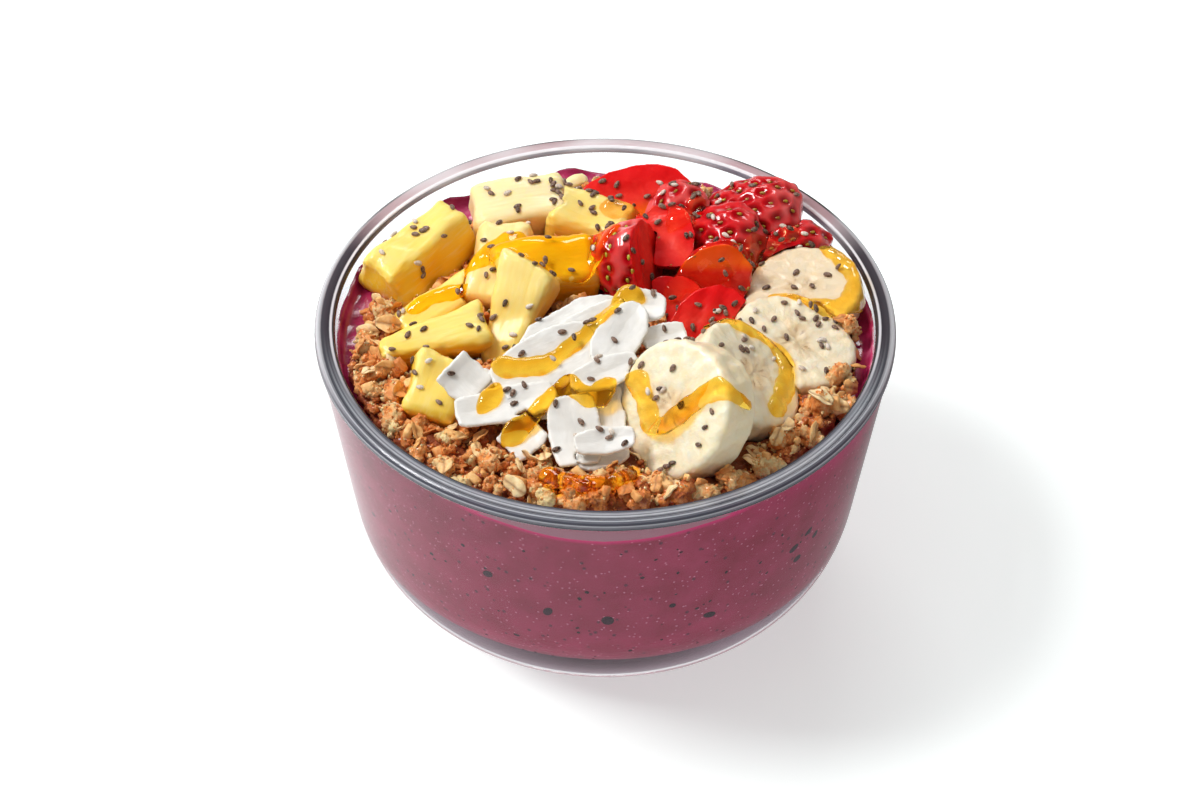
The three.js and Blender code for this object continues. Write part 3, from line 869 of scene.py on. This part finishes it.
def banana(node, way, seed):
    *way, moist = way
    piece, turn, points, own = topping(node, way, voxel=0.5 * MM, smoothing=20)
    flat = own * (1, 1, 0)
    growth = roundness(np.arctan2(own[:, 1], own[:, 0]), BANANA_FACETS, math.pi / BANANA_FACETS)
    grown = flat * (growth[:, None] - 1)
    own += grown
    points += grown @ turn.T
    move_points(piece, points)
    normals = normals_of(piece) @ turn
    radius = np.hypot(own[:, 0], own[:, 1])
    angle = np.arctan2(own[:, 1], own[:, 0])
    whole = radius.max()
    face = np.clip((np.abs(normals[:, 2]) - 0.5) / 0.3, 0, 1)
    share = radius / whole
    spokes = np.sin(angle * 17 + seed) * 0.08 + np.sin(angle * 41 + seed * 2) * 0.04
    dish = -0.5 * np.exp(-((share / 0.3) ** 2)) * (0.6 + 0.4 * np.cos(3 * angle))
    uneven = waves(own, 5 * MM, seed) * 0.16 + waves(own, 1.4 * MM, seed + 1) * 0.02
    ribs = (1 - face) * np.sin(angle * 24) * 0.06
    points += normals_of(piece) * ((face * (dish + spokes * share) + uneven + ribs) * MM)[:, None]
    move_points(piece, points)
    lobes = 0.5 + 0.5 * np.cos(3 * angle)
    heart = np.exp(-(((share - 0.1) / (0.16 + 0.14 * lobes)) ** 2)) * face
    heart *= 0.7 + 0.3 * waves(own, 3 * MM, seed + 2)
    dots = np.exp(-(((share - 0.2) / 0.06) ** 2)) * lobes * face
    dots *= np.clip(np.sin(angle * 12 + seed) * 1.5 - 0.6, 0, 1)
    mark(piece, "grain", own)
    mark(piece, "heart", np.clip(heart, 0, 1))
    mark(piece, "spot", np.clip(dots, 0, 0.6))
    mark(piece, "side", 1 - face)
    mark(piece, "moist", np.full(len(points), moist))
    return finished(piece, BANANA, [node])


def coconut(node, way, seed):
    piece, turn, points, own = topping(node, way, voxel=0.32 * MM, smoothing=6)
    half = (own.max(0) - own.min(0)) / 2
    rim = np.clip(np.abs(own[:, 1]) / half[1], 0, 1) ** 4
    end = np.clip(np.abs(own[:, 0]) / half[0], 0, 1) ** 6
    flat = own * (1, 1, 0)
    jag = (waves(flat, 3.5 * MM, seed) * 0.12 + waves(flat, 1.1 * MM, seed + 1) * 0.06) * MM
    shift = np.zeros_like(own)
    shift[:, 1] = np.sign(own[:, 1]) * jag * rim
    shift[:, 0] = np.sign(own[:, 0]) * jag * end
    shift[:, 2] = waves(flat, 14 * MM, seed + 2) * 0.3 * MM + waves(flat, 5 * MM, seed + 3) * 0.05 * MM
    points += shift @ turn.T + normals_of(piece) * 0.24 * MM
    points[:, 2] += COCONUT_LIFTS.get(node, 0) * MM
    move_points(piece, points)
    mark(piece, "grain", own)
    return finished(piece, COCONUT, [node])


def seeds_in_smoothie():
    """Dark fruit seeds just under the smoothie's surface, seen through the glass."""
    source = random.Random(5)
    tree = BVHTree.FromObject(filling, bpy.context.evaluated_depsgraph_get())
    # Angle in degrees, and height and radius in millimetres.
    spots = [(-102, 39, 1.9), (-89, 37, 2.0), (-66, 33, 1.9), (-115, 49, 1.6), (-45, 45, 1.7),
             (-41, 48, 1.6), (-43, 39, 1.5), (-38, 44, 1.4), (-110, 25, 0.9), (-75, 41, 1.0),
             (-150, 42, 1.1), (-95, 46, 0.8)]
    spots += [(source.uniform(-180, 180), source.uniform(14, 66), source.uniform(0.2, 0.7))
              for _ in range(240)]
    places = []
    for angle, height, size in spots:
        way = Vector((math.cos(math.radians(angle)), math.sin(math.radians(angle)), 0))
        start = way * 0.1 + Vector((0, 0, height * MM))
        place, normal, _, _ = tree.ray_cast(start, -way, 0.1)
        turn = lying(normal, source.uniform(0, math.pi))
        shape = np.array((1, source.uniform(0.6, 0.95), 0.5)) * size * MM
        middle = np.array(place - normal * size * 0.12 * MM)
        places.append((0, turn, shape, middle, source.uniform(0, 0.5)))
    return finished(scattered("smoothie_seeds", [ball()], places), SUNK_SEED)


toppings = [pineapple(node, way, index * 7) for node, way, index in each("pineapple", PINEAPPLES)]
berry_seeds = []
for node, way, index in each("strawberry", STRAWBERRIES):
    berry, seeds, turn = strawberry(node, way, index * 5 + 100)
    toppings.append(berry)
    fresh = 0.65 if node == "strawberry_5" else 0
    berry_seeds += [(place, normal, turn, fresh) for place, normal in seeds]
toppings += [banana(node, way, index * 3 + 200) for node, way, index in each("banana", BANANAS)]
toppings += [coconut(node, way, index * 4 + 300) for node, way, index in each("coconut", COCONUTS)]


# ---- Granola ----
BED_RADIUS = 67.5 * MM


def lump(seed, blobs, faces):
    """A cluster of toasted crumbs about 2 across, with no more than about the given faces."""
    source = random.Random(seed)
    parts = []
    for _ in range(blobs):
        bpy.ops.object.select_all(action="DESELECT")
        at = [source.uniform(-0.5, 0.5) for _ in range(3)]
        radius = source.uniform(0.3, 0.62)
        bpy.ops.mesh.primitive_ico_sphere_add(subdivisions=2, radius=radius, location=at)
        parts.append(bpy.context.object)
    for part in parts:
        part.select_set(True)
    bpy.ops.object.join()
    piece = bpy.context.object
    bpy.ops.object.transform_apply(location=True, rotation=True, scale=True)
    modify(piece, "REMESH", mode="VOXEL", voxel_size=0.09)
    modify(piece, "DISPLACE", texture=CRUMBLE, strength=0.5, mid_level=0.5)
    modify(piece, "DECIMATE", ratio=min(1, faces / (2 * len(piece.data.polygons))))
    return shape_of(piece)


def flake(seed):
    """A rolled oat: a thin oval with a crease along it, and curled edges."""
    source = random.Random(seed)
    bpy.ops.object.select_all(action="DESELECT")
    bpy.ops.mesh.primitive_uv_sphere_add(segments=16, ring_count=8, radius=1)
    points, faces = shape_of(bpy.context.object)
    x, y = points[:, 0].copy(), points[:, 1].copy()
    curl, twist = source.uniform(-0.25, 0.35), source.uniform(-0.2, 0.2)
    points[:, 1] *= 0.66 * (1 + 0.12 * np.sin(x * 5 + seed))
    points[:, 2] *= 0.13
    points[:, 2] += (curl * y ** 2 + twist * x * y - 0.09 * np.exp(-((y / 0.16) ** 2))
                     + 0.07 * np.sin(x * 6 + seed))
    return points, faces


def splinter(seed):
    """A broken bit of nut, flat on most sides."""
    source = random.Random(seed)
    points, faces = ball()
    points = np.clip(points, -0.7, 0.62) * (1, source.uniform(0.55, 0.8), source.uniform(0.3, 0.55))
    return points + 0.06 * waves(points, 0.9, seed)[:, None], faces


def granola_bed():
    piece = food("granola", voxel=0.8 * MM, smoothing=2)
    points = points_of(piece)
    rough = waves(points, 6 * MM, 1) * 0.5 + waves(points, 2.2 * MM, 2) * 0.35
    points += normals_of(piece) * (rough * MM)[:, None]
    move_points(piece, points)
    # Marks the bed for its darker painted shade under the clusters.
    mark(piece, "low", np.ones(len(points)))
    return finished(piece, GRANOLA, ["granola"])


def on_the_bed(heap, source, count, spacing, allowed, reach=0.0):
    """Hits where the allowed pieces lie uppermost, there and a reach away on all four sides.

    They are at least a spacing apart.
    """
    found = []
    for _ in range(count * 30):
        angle, radius = source.uniform(0, 2 * math.pi), BED_RADIUS * math.sqrt(source.random())
        x, y = radius * math.cos(angle), radius * math.sin(angle)
        if any((x - p.x) ** 2 + (y - p.y) ** 2 < spacing ** 2 for _, p, _ in found):
            continue
        hits = [heap.drop(x + reach * a, y + reach * b)
                for a, b in ((0, 0), (1, 0), (0, 1), (-1, 0), (0, -1))]
        if hits[0] and all(hit is None or hit[0] in allowed for hit in hits):
            found.append(hits[0])
            if len(found) == count:
                break
    return found


def strewn(source, found, kinds, sizes, rise, tip=None, tint=1):
    """A copy on each place found, of one of the kinds.

    A copy is tumbled and rises by a share of its size. With a tip, which draws an angle, it
    lies on the bed and rises by millimetres.
    """
    copies = []
    for _, place, normal in found:
        size = source.uniform(*sizes) * MM
        if tip:
            turn, up = lying(normal, source.uniform(0, 6), tip()), normal * rise * MM
        else:
            turn, up = tumbled(source), Vector((0, 0, size * rise))
        kind = source.randrange(len(kinds))
        copies.append((kind, turn, size, np.array(place + up), source.uniform(0, tint)))
    return copies


CRUMBLE = bpy.data.textures.new("crumble", "CLOUDS")
CRUMBLE.noise_scale = 0.22
CRUMBLE.noise_depth = 3

seeds_in_smoothie()
bed = granola_bed()
heap = Heap([bed, *toppings])
source = random.Random(31)
lumps = [lump(seed, blobs=5 + seed % 4, faces=900) for seed in range(7)]
small_lumps = [lump(seed, blobs=4, faces=260) for seed in range(40, 48)]
all_lumps = lumps + small_lumps
crumbs = [lump(seed, blobs=2, faces=60) for seed in range(60, 66)]
flakes = [flake(seed) for seed in range(5)]
splinters = [splinter(seed) for seed in range(5)]

# Larger clusters that stand out of the bed: plan place, height of the middle and radius.
# Millimetres.
STANDING = [
    (-57, 3, 77.5, 4.6), (-61, -6, 76, 3.6), (-57.5, -13, 77, 5.2), (-60, -22, 77, 5.6),
    (-53.5, -27, 77, 4.6), (-54, -36, 77, 4.6), (-46, -38, 77, 4.2), (-30, -52, 77.5, 4.4),
    (24, -62, 77.5, 4.2), (31, -58, 77.5, 3.8), (46, -44, 77.5, 4.6), (55, -31, 78, 4.8),
    (60, -20, 77.5, 4.2), (64, -2, 77.5, 3.6), (-18, -61, 77, 4.0),
]
places = []
for x, y, z, size in STANDING:
    turn = tumbled(source)
    middle = np.array((x, y, z)) * MM
    places.append((source.randrange(len(lumps)), turn, size * MM, middle, source.uniform(0.3, 0.7)))
places += strewn(source, on_the_bed(heap, source, 120, 4.8 * MM, [bed.name], 3 * MM),
                 lumps, sizes=(2.3, 4.0), rise=0.25)
clusters = finished(scattered("granola_clusters", lumps, places), GRANOLA)
places = strewn(source, on_the_bed(heap, source, 420, 2.3 * MM, [bed.name], 1 * MM),
                small_lumps, sizes=(1.0, 2.3), rise=0.5)
nuggets = finished(scattered("granola_nuggets", small_lumps, places), GRANOLA)
heap = Heap([bed, clusters, nuggets, *toppings])
loose = [bed.name, clusters.name, nuggets.name]
places = strewn(source, on_the_bed(heap, source, 130, 3.2 * MM, loose),
                flakes, sizes=(2.3, 3.7), rise=0.3, tip=lambda: source.gauss(0, 0.35))
oats = scattered("granola_oats", flakes, places,
                 ("crease", lambda shape: np.exp(-((shape[:, 1] / 0.1) ** 2))))
finished(oats, OAT)
places = strewn(source, on_the_bed(heap, source, 90, 2.8 * MM, loose),
                splinters, sizes=(1.4, 3.0), rise=0.4, tip=lambda: source.gauss(0, 0.5), tint=0.6)
finished(scattered("granola_nuts", splinters, places), OAT)
places = strewn(source, on_the_bed(heap, source, 1500, 0.9 * MM, loose),
                crumbs, sizes=(0.35, 0.95), rise=0.2, tip=lambda: source.uniform(0, 3))
finished(scattered("granola_crumbs", crumbs, places), GRANOLA)
# The coconut hangs over the bed, which is just as rough under it.
source = random.Random(47)
open_heap = Heap([bed, *(piece for piece in toppings if "coconut" not in piece.name)])
places = []
for _, place, normal in on_the_bed(open_heap, source, 520, 2.4 * MM, [bed.name], 1 * MM):
    size = source.uniform(1.3, 3.2) * MM
    turn = tumbled(source)
    if "coconut" in heap.drop(place.x, place.y)[0] and heap.room(place) > size * 1.4:
        middle = np.array(place + normal * size * 0.3)
        places.append((source.randrange(len(all_lumps)), turn, size, middle, source.uniform(0, 1)))
finished(scattered("granola_sheltered", all_lumps, places), GRANOLA)


# ---- Honey ----
POUR_STEP = 0.8  # millimetres along a route
POUR_LOWEST = 76.0  # millimetres, where nothing lies under a pour
# Each pour is a route of plan places and widths in millimetres.
ROPES = [
    [(-29, -28.5, 4), (-26.5, -29.1, 5.5), (-21.5, -29.2, 5.5), (-15.2, -27.8, 5), (-10.9, -24.5, 4),
     (-6.4, -21.2, 4), (-1.9, -16.4, 4), (2, -12.5, 4), (4.5, -8.8, 5), (7.3, -7.4, 6.5),
     (10.6, -8.6, 5)],
    [(-26.5, -33.5, 4), (-28, -36, 5.5), (-30, -38.8, 5.5), (-32.2, -42, 4)],
    [(-26, -47.5, 4), (-22.2, -44.8, 5), (-18.7, -42.4, 4.5), (-15, -39, 4), (-12, -35.5, 3.8),
     (-9.3, -34.5, 3.8), (-7, -37, 4), (-3.7, -38.8, 5), (0.1, -36.5, 5), (3.5, -34, 4)],
]
VEES = [
    [(5, -33.5, 3.6), (8.8, -36.1, 4.6), (10.3, -40.7, 4.6), (11.9, -45.2, 4.2), (13.9, -48.6, 4.2),
     (17.5, -49.1, 4), (21.2, -48.4, 4), (24.8, -47.8, 4), (27.3, -48, 4.2), (30.8, -49.6, 4),
     (34.7, -49.5, 3.6), (37, -48, 2.4)],
    [(25, -11.5, 4), (28.6, -12.6, 6), (33.1, -13.5, 6), (38.4, -13, 5), (43, -14, 5), (46, -17.5, 5),
     (46.5, -23.7, 5), (44.5, -32, 5), (42.2, -39.7, 4)],
    [(57, 27, 3), (61, 22.5, 6), (64.5, 18, 7), (66, 12.5, 6), (64.5, 6.5, 6), (60, 3.5, 6),
     (54, 5.5, 5), (48, 8, 4), (42, 11, 3)],
]
AMBER = [[(-16, -58.5, 6), (-13.5, -60.5, 6.5), (-9, -61.5, 5.5), (-4, -63.5, 5), (1, -62.5, 4.5),
          (5, -59.5, 4), (7.5, -56, 3.4), (8.5, -53.5, 2.6)]]
FILMS = [
    [(-37, 11, 4), (-32, 16, 8), (-24, 17, 14), (-16, 16, 17), (-8, 16, 17), (-1, 19, 13), (5, 20, 6)],
    [(-52, 1, 4), (-46, 4.4, 5), (-41, 6.5, 5), (-35, 7.5, 4)],
]
GLAZES = [
    [(-2, 37, 4), (2.5, 36.5, 7), (7.7, 36.5, 7), (12, 36, 4)],
    [(52, 30, 3), (45, 27.6, 5), (38.3, 23.2, 5), (31.4, 17, 8), (25, 14.6, 9), (19, 10.7, 6), (15, 6, 3)],
    [(27, 41, 3), (22.5, 36, 6), (19.7, 31, 7), (16, 25, 4)],
]


def along(route):
    """Evenly spaced places and widths on a smooth line through a route."""
    route = np.array(route, float)
    route = np.vstack([2 * route[0] - route[1], route, 2 * route[-1] - route[-2]])
    found = []
    for a, b, c, d in zip(route, route[1:], route[2:], route[3:]):
        for share in np.linspace(0, 1, 12, endpoint=False):
            found.append(0.5 * (2 * b + (c - a) * share + (2 * a - 5 * b + 4 * c - d) * share ** 2
                                + (3 * b - a - 3 * c + d) * share ** 3))
    found = np.array(found)
    length = np.concatenate([[0], np.cumsum(np.hypot(*np.diff(found[:, :2], axis=0).T))])
    wanted = np.arange(0, length[-1], POUR_STEP)
    return np.stack([np.interp(wanted, length, found[:, axis]) for axis in range(3)], 1)


def softened(heights, rounds):
    for _ in range(rounds):
        inner = np.pad(heights, 1, mode="edge")
        heights = (inner[:-2, 1:-1] + inner[2:, 1:-1] + inner[1:-1, :-2] + inner[1:-1, 2:]
                   + 2 * heights) / 6
    return heights


def slab_faces(rows, columns):
    """Faces of a closed slab. Its top's points come first, row by row, and then its underside's."""
    faces = []
    for i, j in np.ndindex(rows - 1, columns - 1):
        a, d = i * columns + j, (i + 1) * columns + j
        faces.append((a, a + 1, d + 1, d))
        faces.append(tuple(v + rows * columns for v in (d, d + 1, a + 1, a)))
    rim = [i * columns for i in range(rows)] + [(rows - 1) * columns + j for j in range(1, columns)]
    rim += [i * columns + columns - 1 for i in range(rows - 2, -1, -1)] + list(range(columns - 2, 0, -1))
    for a, b in zip(rim, rim[1:] + rim[:1]):
        faces.append((a, b, b + rows * columns, a + rows * columns))
    return faces


def pour(line, heap, fall, swell, most):
    """Points and faces of one pour, draped over the heap and bridging what lies deep."""
    ahead = np.gradient(line[:, :2], axis=0)
    ahead /= np.linalg.norm(ahead, axis=1)[:, None]
    side = np.stack([-ahead[:, 1], ahead[:, 0]], 1)
    ends = np.arange(len(line)) * POUR_STEP
    ends = np.minimum(ends, ends[::-1])
    width = line[:, 2] * np.sqrt(np.clip(ends / (line[:, 2] * 0.5 + 0.1), 0.02, 1)) / 2
    width *= 1 + 0.1 * np.sin(np.arange(len(line)) * 0.5) + 0.06 * np.sin(np.arange(len(line)) * 1.3)
    across = np.linspace(-1, 1, 2 * max(3, int(max(line[:, 2]) / 1.4)) + 1)
    plan = line[:, None, :2] + side[:, None] * (across[:, None] * width[:, None, None])
    heights = np.full(plan.shape[:2], POUR_LOWEST)
    for i, j in np.ndindex(*heights.shape):
        hit = heap.drop(*(plan[i, j] * MM))
        if hit:
            heights[i, j] = hit[1].z / MM
    for row in (range(1, len(line)), range(len(line) - 2, -1, -1)):
        back = -1 if row.step == 1 else 1
        for i in row:
            heights[i] = np.maximum(heights[i], heights[i + back] - fall * POUR_STEP)
    heights = np.maximum(softened(heights, 4), softened(heights, 1) - 0.2)
    lens = np.sqrt(np.clip(1 - across ** 2, 0, 1))
    thick = np.clip(swell * width, 0.7, most)[:, None] * lens
    top = np.dstack([plan, heights + thick]).reshape(-1, 3)
    under = np.dstack([plan, heights - 1.1 * lens - 0.05]).reshape(-1, 3)
    return np.vstack([top, under]) * MM, slab_faces(*heights.shape)


def honey(name, routes, finish, fall, swell, most):
    """Pours of one kind, deepest in colour along the middle.

    fall is the steepest slope, swell the height for each width, most the greatest height.
    """
    heap = Heap([bed, clusters, nuggets, *toppings])
    points, faces, lines, start = [], [], [], 0
    for route in routes:
        lines.append(along(route))
        part, corners = pour(lines[-1], heap, fall, swell, most)
        points.append(part)
        faces += [tuple(v + start for v in face) for face in corners]
        start += len(part)
    piece = new_piece(name, np.concatenate(points), (), faces)
    edit(piece, (bpy.ops.mesh.normals_make_consistent, {"inside": False}))
    modify(piece, "REMESH", mode="VOXEL", voxel_size=0.34 * MM)
    modify(piece, "SMOOTH", factor=0.5, iterations=6)
    plan = points_of(piece)[:, :2] / MM
    middle = np.concatenate(lines)
    gaps = [np.hypot(*(plan[i:i + 4000, None] - middle[:, :2]).transpose(2, 0, 1)) / (middle[:, 2] / 2)
            for i in range(0, len(plan), 4000)]
    mark(piece, "deep", np.clip(1.1 - np.concatenate([gap.min(1) for gap in gaps]), 0, 1))
    return finished(piece, finish)


ropes = honey("honey_ropes", ROPES, HONEY, fall=0.9, swell=0.95, most=2.1)
vees = honey("honey_vees", VEES, PALE_HONEY, fall=0.9, swell=0.95, most=2.1)
films = honey("honey_films", FILMS, FILM, fall=1.6, swell=0.42, most=1.5)
glazes = honey("honey_glazes", GLAZES, GLAZE, fall=1.3, swell=0.8, most=1.9)
amber = honey("honey_amber", AMBER, HONEY, fall=0.2, swell=1.35, most=3.8)


# ---- Seeds ----
def seed_shape():
    """About 2 long along X, and narrower at one end."""
    points, faces = ball()
    points *= (1.1, 0.62, 0.5)
    points[:, 1:] *= (1 - 0.16 * points[:, :1])
    return points, faces


# Seeds sprinkled evenly over each food, in the order of the nodes, and clusters of them: plan
# place in millimetres, and count.
CHIA_COUNTS = {
    "pineapple": (7, 7, 9, 6, 6, 11, 8, 7, 3),
    "strawberry": (6, 6, 7, 6, 3, 5, 6, 3, 5, 4),
    "banana": (15, 5, 13, 7),
    "coconut": (1, 2, 2, 3, 2, 3, 3, 3, 4, 0, 4, 2),
}
GRANOLA_CHIA = 24
CHIA_CLUSTERS = [
    (-16, 43, 7), (-11, 41, 5), (-7, 41.5, 6), (-2, 38.6, 4), (-48, 29, 5), (-57, 20, 4), (26, -1, 6),
    (37, -19, 5), (56, -1, 6), (3, -47.5, 5), (26, 43, 5), (17, 33, 3), (44, 30, 4), (-22, 32, 4),
]


def chia(heap):
    """Seeds on all but the steepest faces, and fewer of the sprinkled ones on honey."""
    source = random.Random(77)
    dark, pale = [], []

    def lay(hit):
        _, place, normal = hit
        size = source.uniform(0.94, 1.14) * MM
        turn = lying(normal, source.uniform(0, 2 * math.pi), source.gauss(0, 0.12))
        group = pale if source.random() < 0.16 else dark
        group.append((0, turn, size, np.array(place + normal * 0.36 * MM), source.random()))

    sprinkled = [row for kind, counts in CHIA_COUNTS.items() for row in each(kind, counts)]
    for node, count, _ in [*sprinkled, ("granola", GRANOLA_CHIA, 0)]:
        low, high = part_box(node)
        left = count
        for _ in range(count * 60):
            hit = heap.drop(source.uniform(low.x, high.x), source.uniform(low.y, high.y))
            if not hit or not (hit[0].startswith((node + "_", "honey")) or node == "granola"):
                continue
            if hit[0].startswith("honey") and source.random() < 0.6 or hit[2].z < 0.15:
                continue
            lay(hit)
            left -= 1
            if left == 0:
                break
    for x, y, count in CHIA_CLUSTERS:
        for _ in range(count):
            hit = heap.drop(source.gauss(x, 3) * MM, source.gauss(y, 3) * MM)
            if hit and hit[2].z > 0.15:
                lay(hit)
    kinds = [seed_shape()]
    finished(scattered("chia_seeds", kinds, dark), CHIA_DARK)
    finished(scattered("chia_seeds_pale", kinds, pale), CHIA_PALE)


def seeds_of_berries():
    """One seed in each pit, pointing along its berry."""
    places = []
    for place, up, turn, fresh in berry_seeds:
        side = np.cross(up, turn[:, 0])
        side /= np.linalg.norm(side)
        own = np.stack([np.cross(side, up), side, up], 1)
        places.append((0, own, 0.72 * MM, place - up * 0.74 * MM, fresh + source.uniform(0, 0.35)))
    finished(scattered("strawberry_seeds", [seed_shape()], places), BERRY_SEED)


chia(Heap([bed, clusters, nuggets, ropes, vees, films, glazes, amber, *toppings]))
seeds_of_berries()


# ---- Stage ----
FLOOR_DROP = 0.1 * MM
LAMP_AIM = Vector((0, 0, 0.05))
LENS, SENSOR = 95.96, 36
CAMERA_PLACE = (0, -0.62536, 0.63554)
# Degrees: how far down the camera looks, and its turns round Z and round its own line of sight.
CAMERA_DOWN, CAMERA_ASIDE, CAMERA_ROLL = 43.097, 0.1165, 0.3573


def lamp(name, at, size, power, mirrored=True):
    light = bpy.data.lights.new(name, "AREA")
    light.shape = "RECTANGLE"
    light.size, light.size_y = size
    light.energy = power
    stand = bpy.data.objects.new(name, light)
    stand.location = at
    stand.rotation_euler = (LAMP_AIM - Vector(at)).to_track_quat("-Z", "Y").to_euler()
    stand.visible_glossy = mirrored
    stand.visible_transmission = mirrored
    bpy.context.scene.collection.objects.link(stand)


def studio_floor():
    """Mirrors see it bright on the left and dark on the right. Everything else sees it pale."""
    finish = Finish("floor")
    pale = finish.surface(
        tone(226, 234, 232), 0.9, emission_color=grey(1.0), emission_strength=0.46)
    across = finish.part(finish.place(), "X") * 3.3 + 0.5
    shade = finish.ramp(
        across, (0.0, (1.2, 1.17, 1.18, 1.0)), (0.5, (0.78, 0.75, 0.76, 1.0)), (0.9, grey(0.14)))
    mirrored = finish.node("Emission", {}, {"Color": shade})
    only = finish.ray("Glossy") * (1 - finish.ray("Transmission"))
    return finish.done(finish.mixed(only, pale, mirrored))


def studio_sky():
    """Brighter for what it lights than for what mirrors it, and pale through the glass."""
    world = bpy.data.worlds.new("studio")
    finish = Finish("studio", world)
    place = finish.place("Generated")
    up = finish.part(place, "Z")
    light = finish.ramp(up, (0.0, grey(0.58)), (0.75, grey(0.2)))
    dark = finish.ramp(up, (0.1, grey(0.4)), (0.35, grey(0.08)))
    aside = finish.node("MapRange", {}, {0: finish.part(place, "X"), 1: 0.0, 2: 0.5, 3: 1.0, 4: 0.3})
    dark = finish.node("VectorMath", {"operation": "SCALE"}, {0: dark, "Scale": aside})
    seen = finish.blend(finish.ray("Diffuse"), dark, light)
    seen = finish.blend(finish.ray("Transmission"), seen, (0.85, 0.86, 0.88, 1.0))
    return finish.done(finish.node("Background", {}, {"Color": seen}), "OutputWorld")


def turned_about(axis, degrees):
    return Matrix.Rotation(math.radians(degrees), 4, axis)


def stage():
    scene = bpy.context.scene
    bpy.ops.object.select_all(action="DESELECT")
    bpy.ops.mesh.primitive_plane_add(size=6, location=(0, 0, -FLOOR_DROP))
    floor = bpy.context.object
    floor.name = "floor"
    floor.data.materials.append(studio_floor())
    scene.world = studio_sky()
    lamp("key", at=(-0.74, 0.08, 1.08), size=(0.4, 0.4), power=13)
    lamp("window", at=(0.05, 0.75, 1.0), size=(0.5, 0.22), power=3)
    lamp("overhead", at=(0.0, 0.1, 2.0), size=(1.4, 1.4), power=4, mirrored=False)

    camera = bpy.data.cameras.new("camera")
    camera.lens, camera.sensor_width = LENS, SENSOR
    view = bpy.data.objects.new("camera", camera)
    aim = turned_about("Z", CAMERA_ASIDE) @ turned_about("X", 90 - CAMERA_DOWN)
    view.matrix_world = Matrix.Translation(CAMERA_PLACE) @ aim @ turned_about("Z", CAMERA_ROLL)
    scene.collection.objects.link(view)
    scene.camera = view
    scene.view_settings.view_transform = "Standard"


stage()
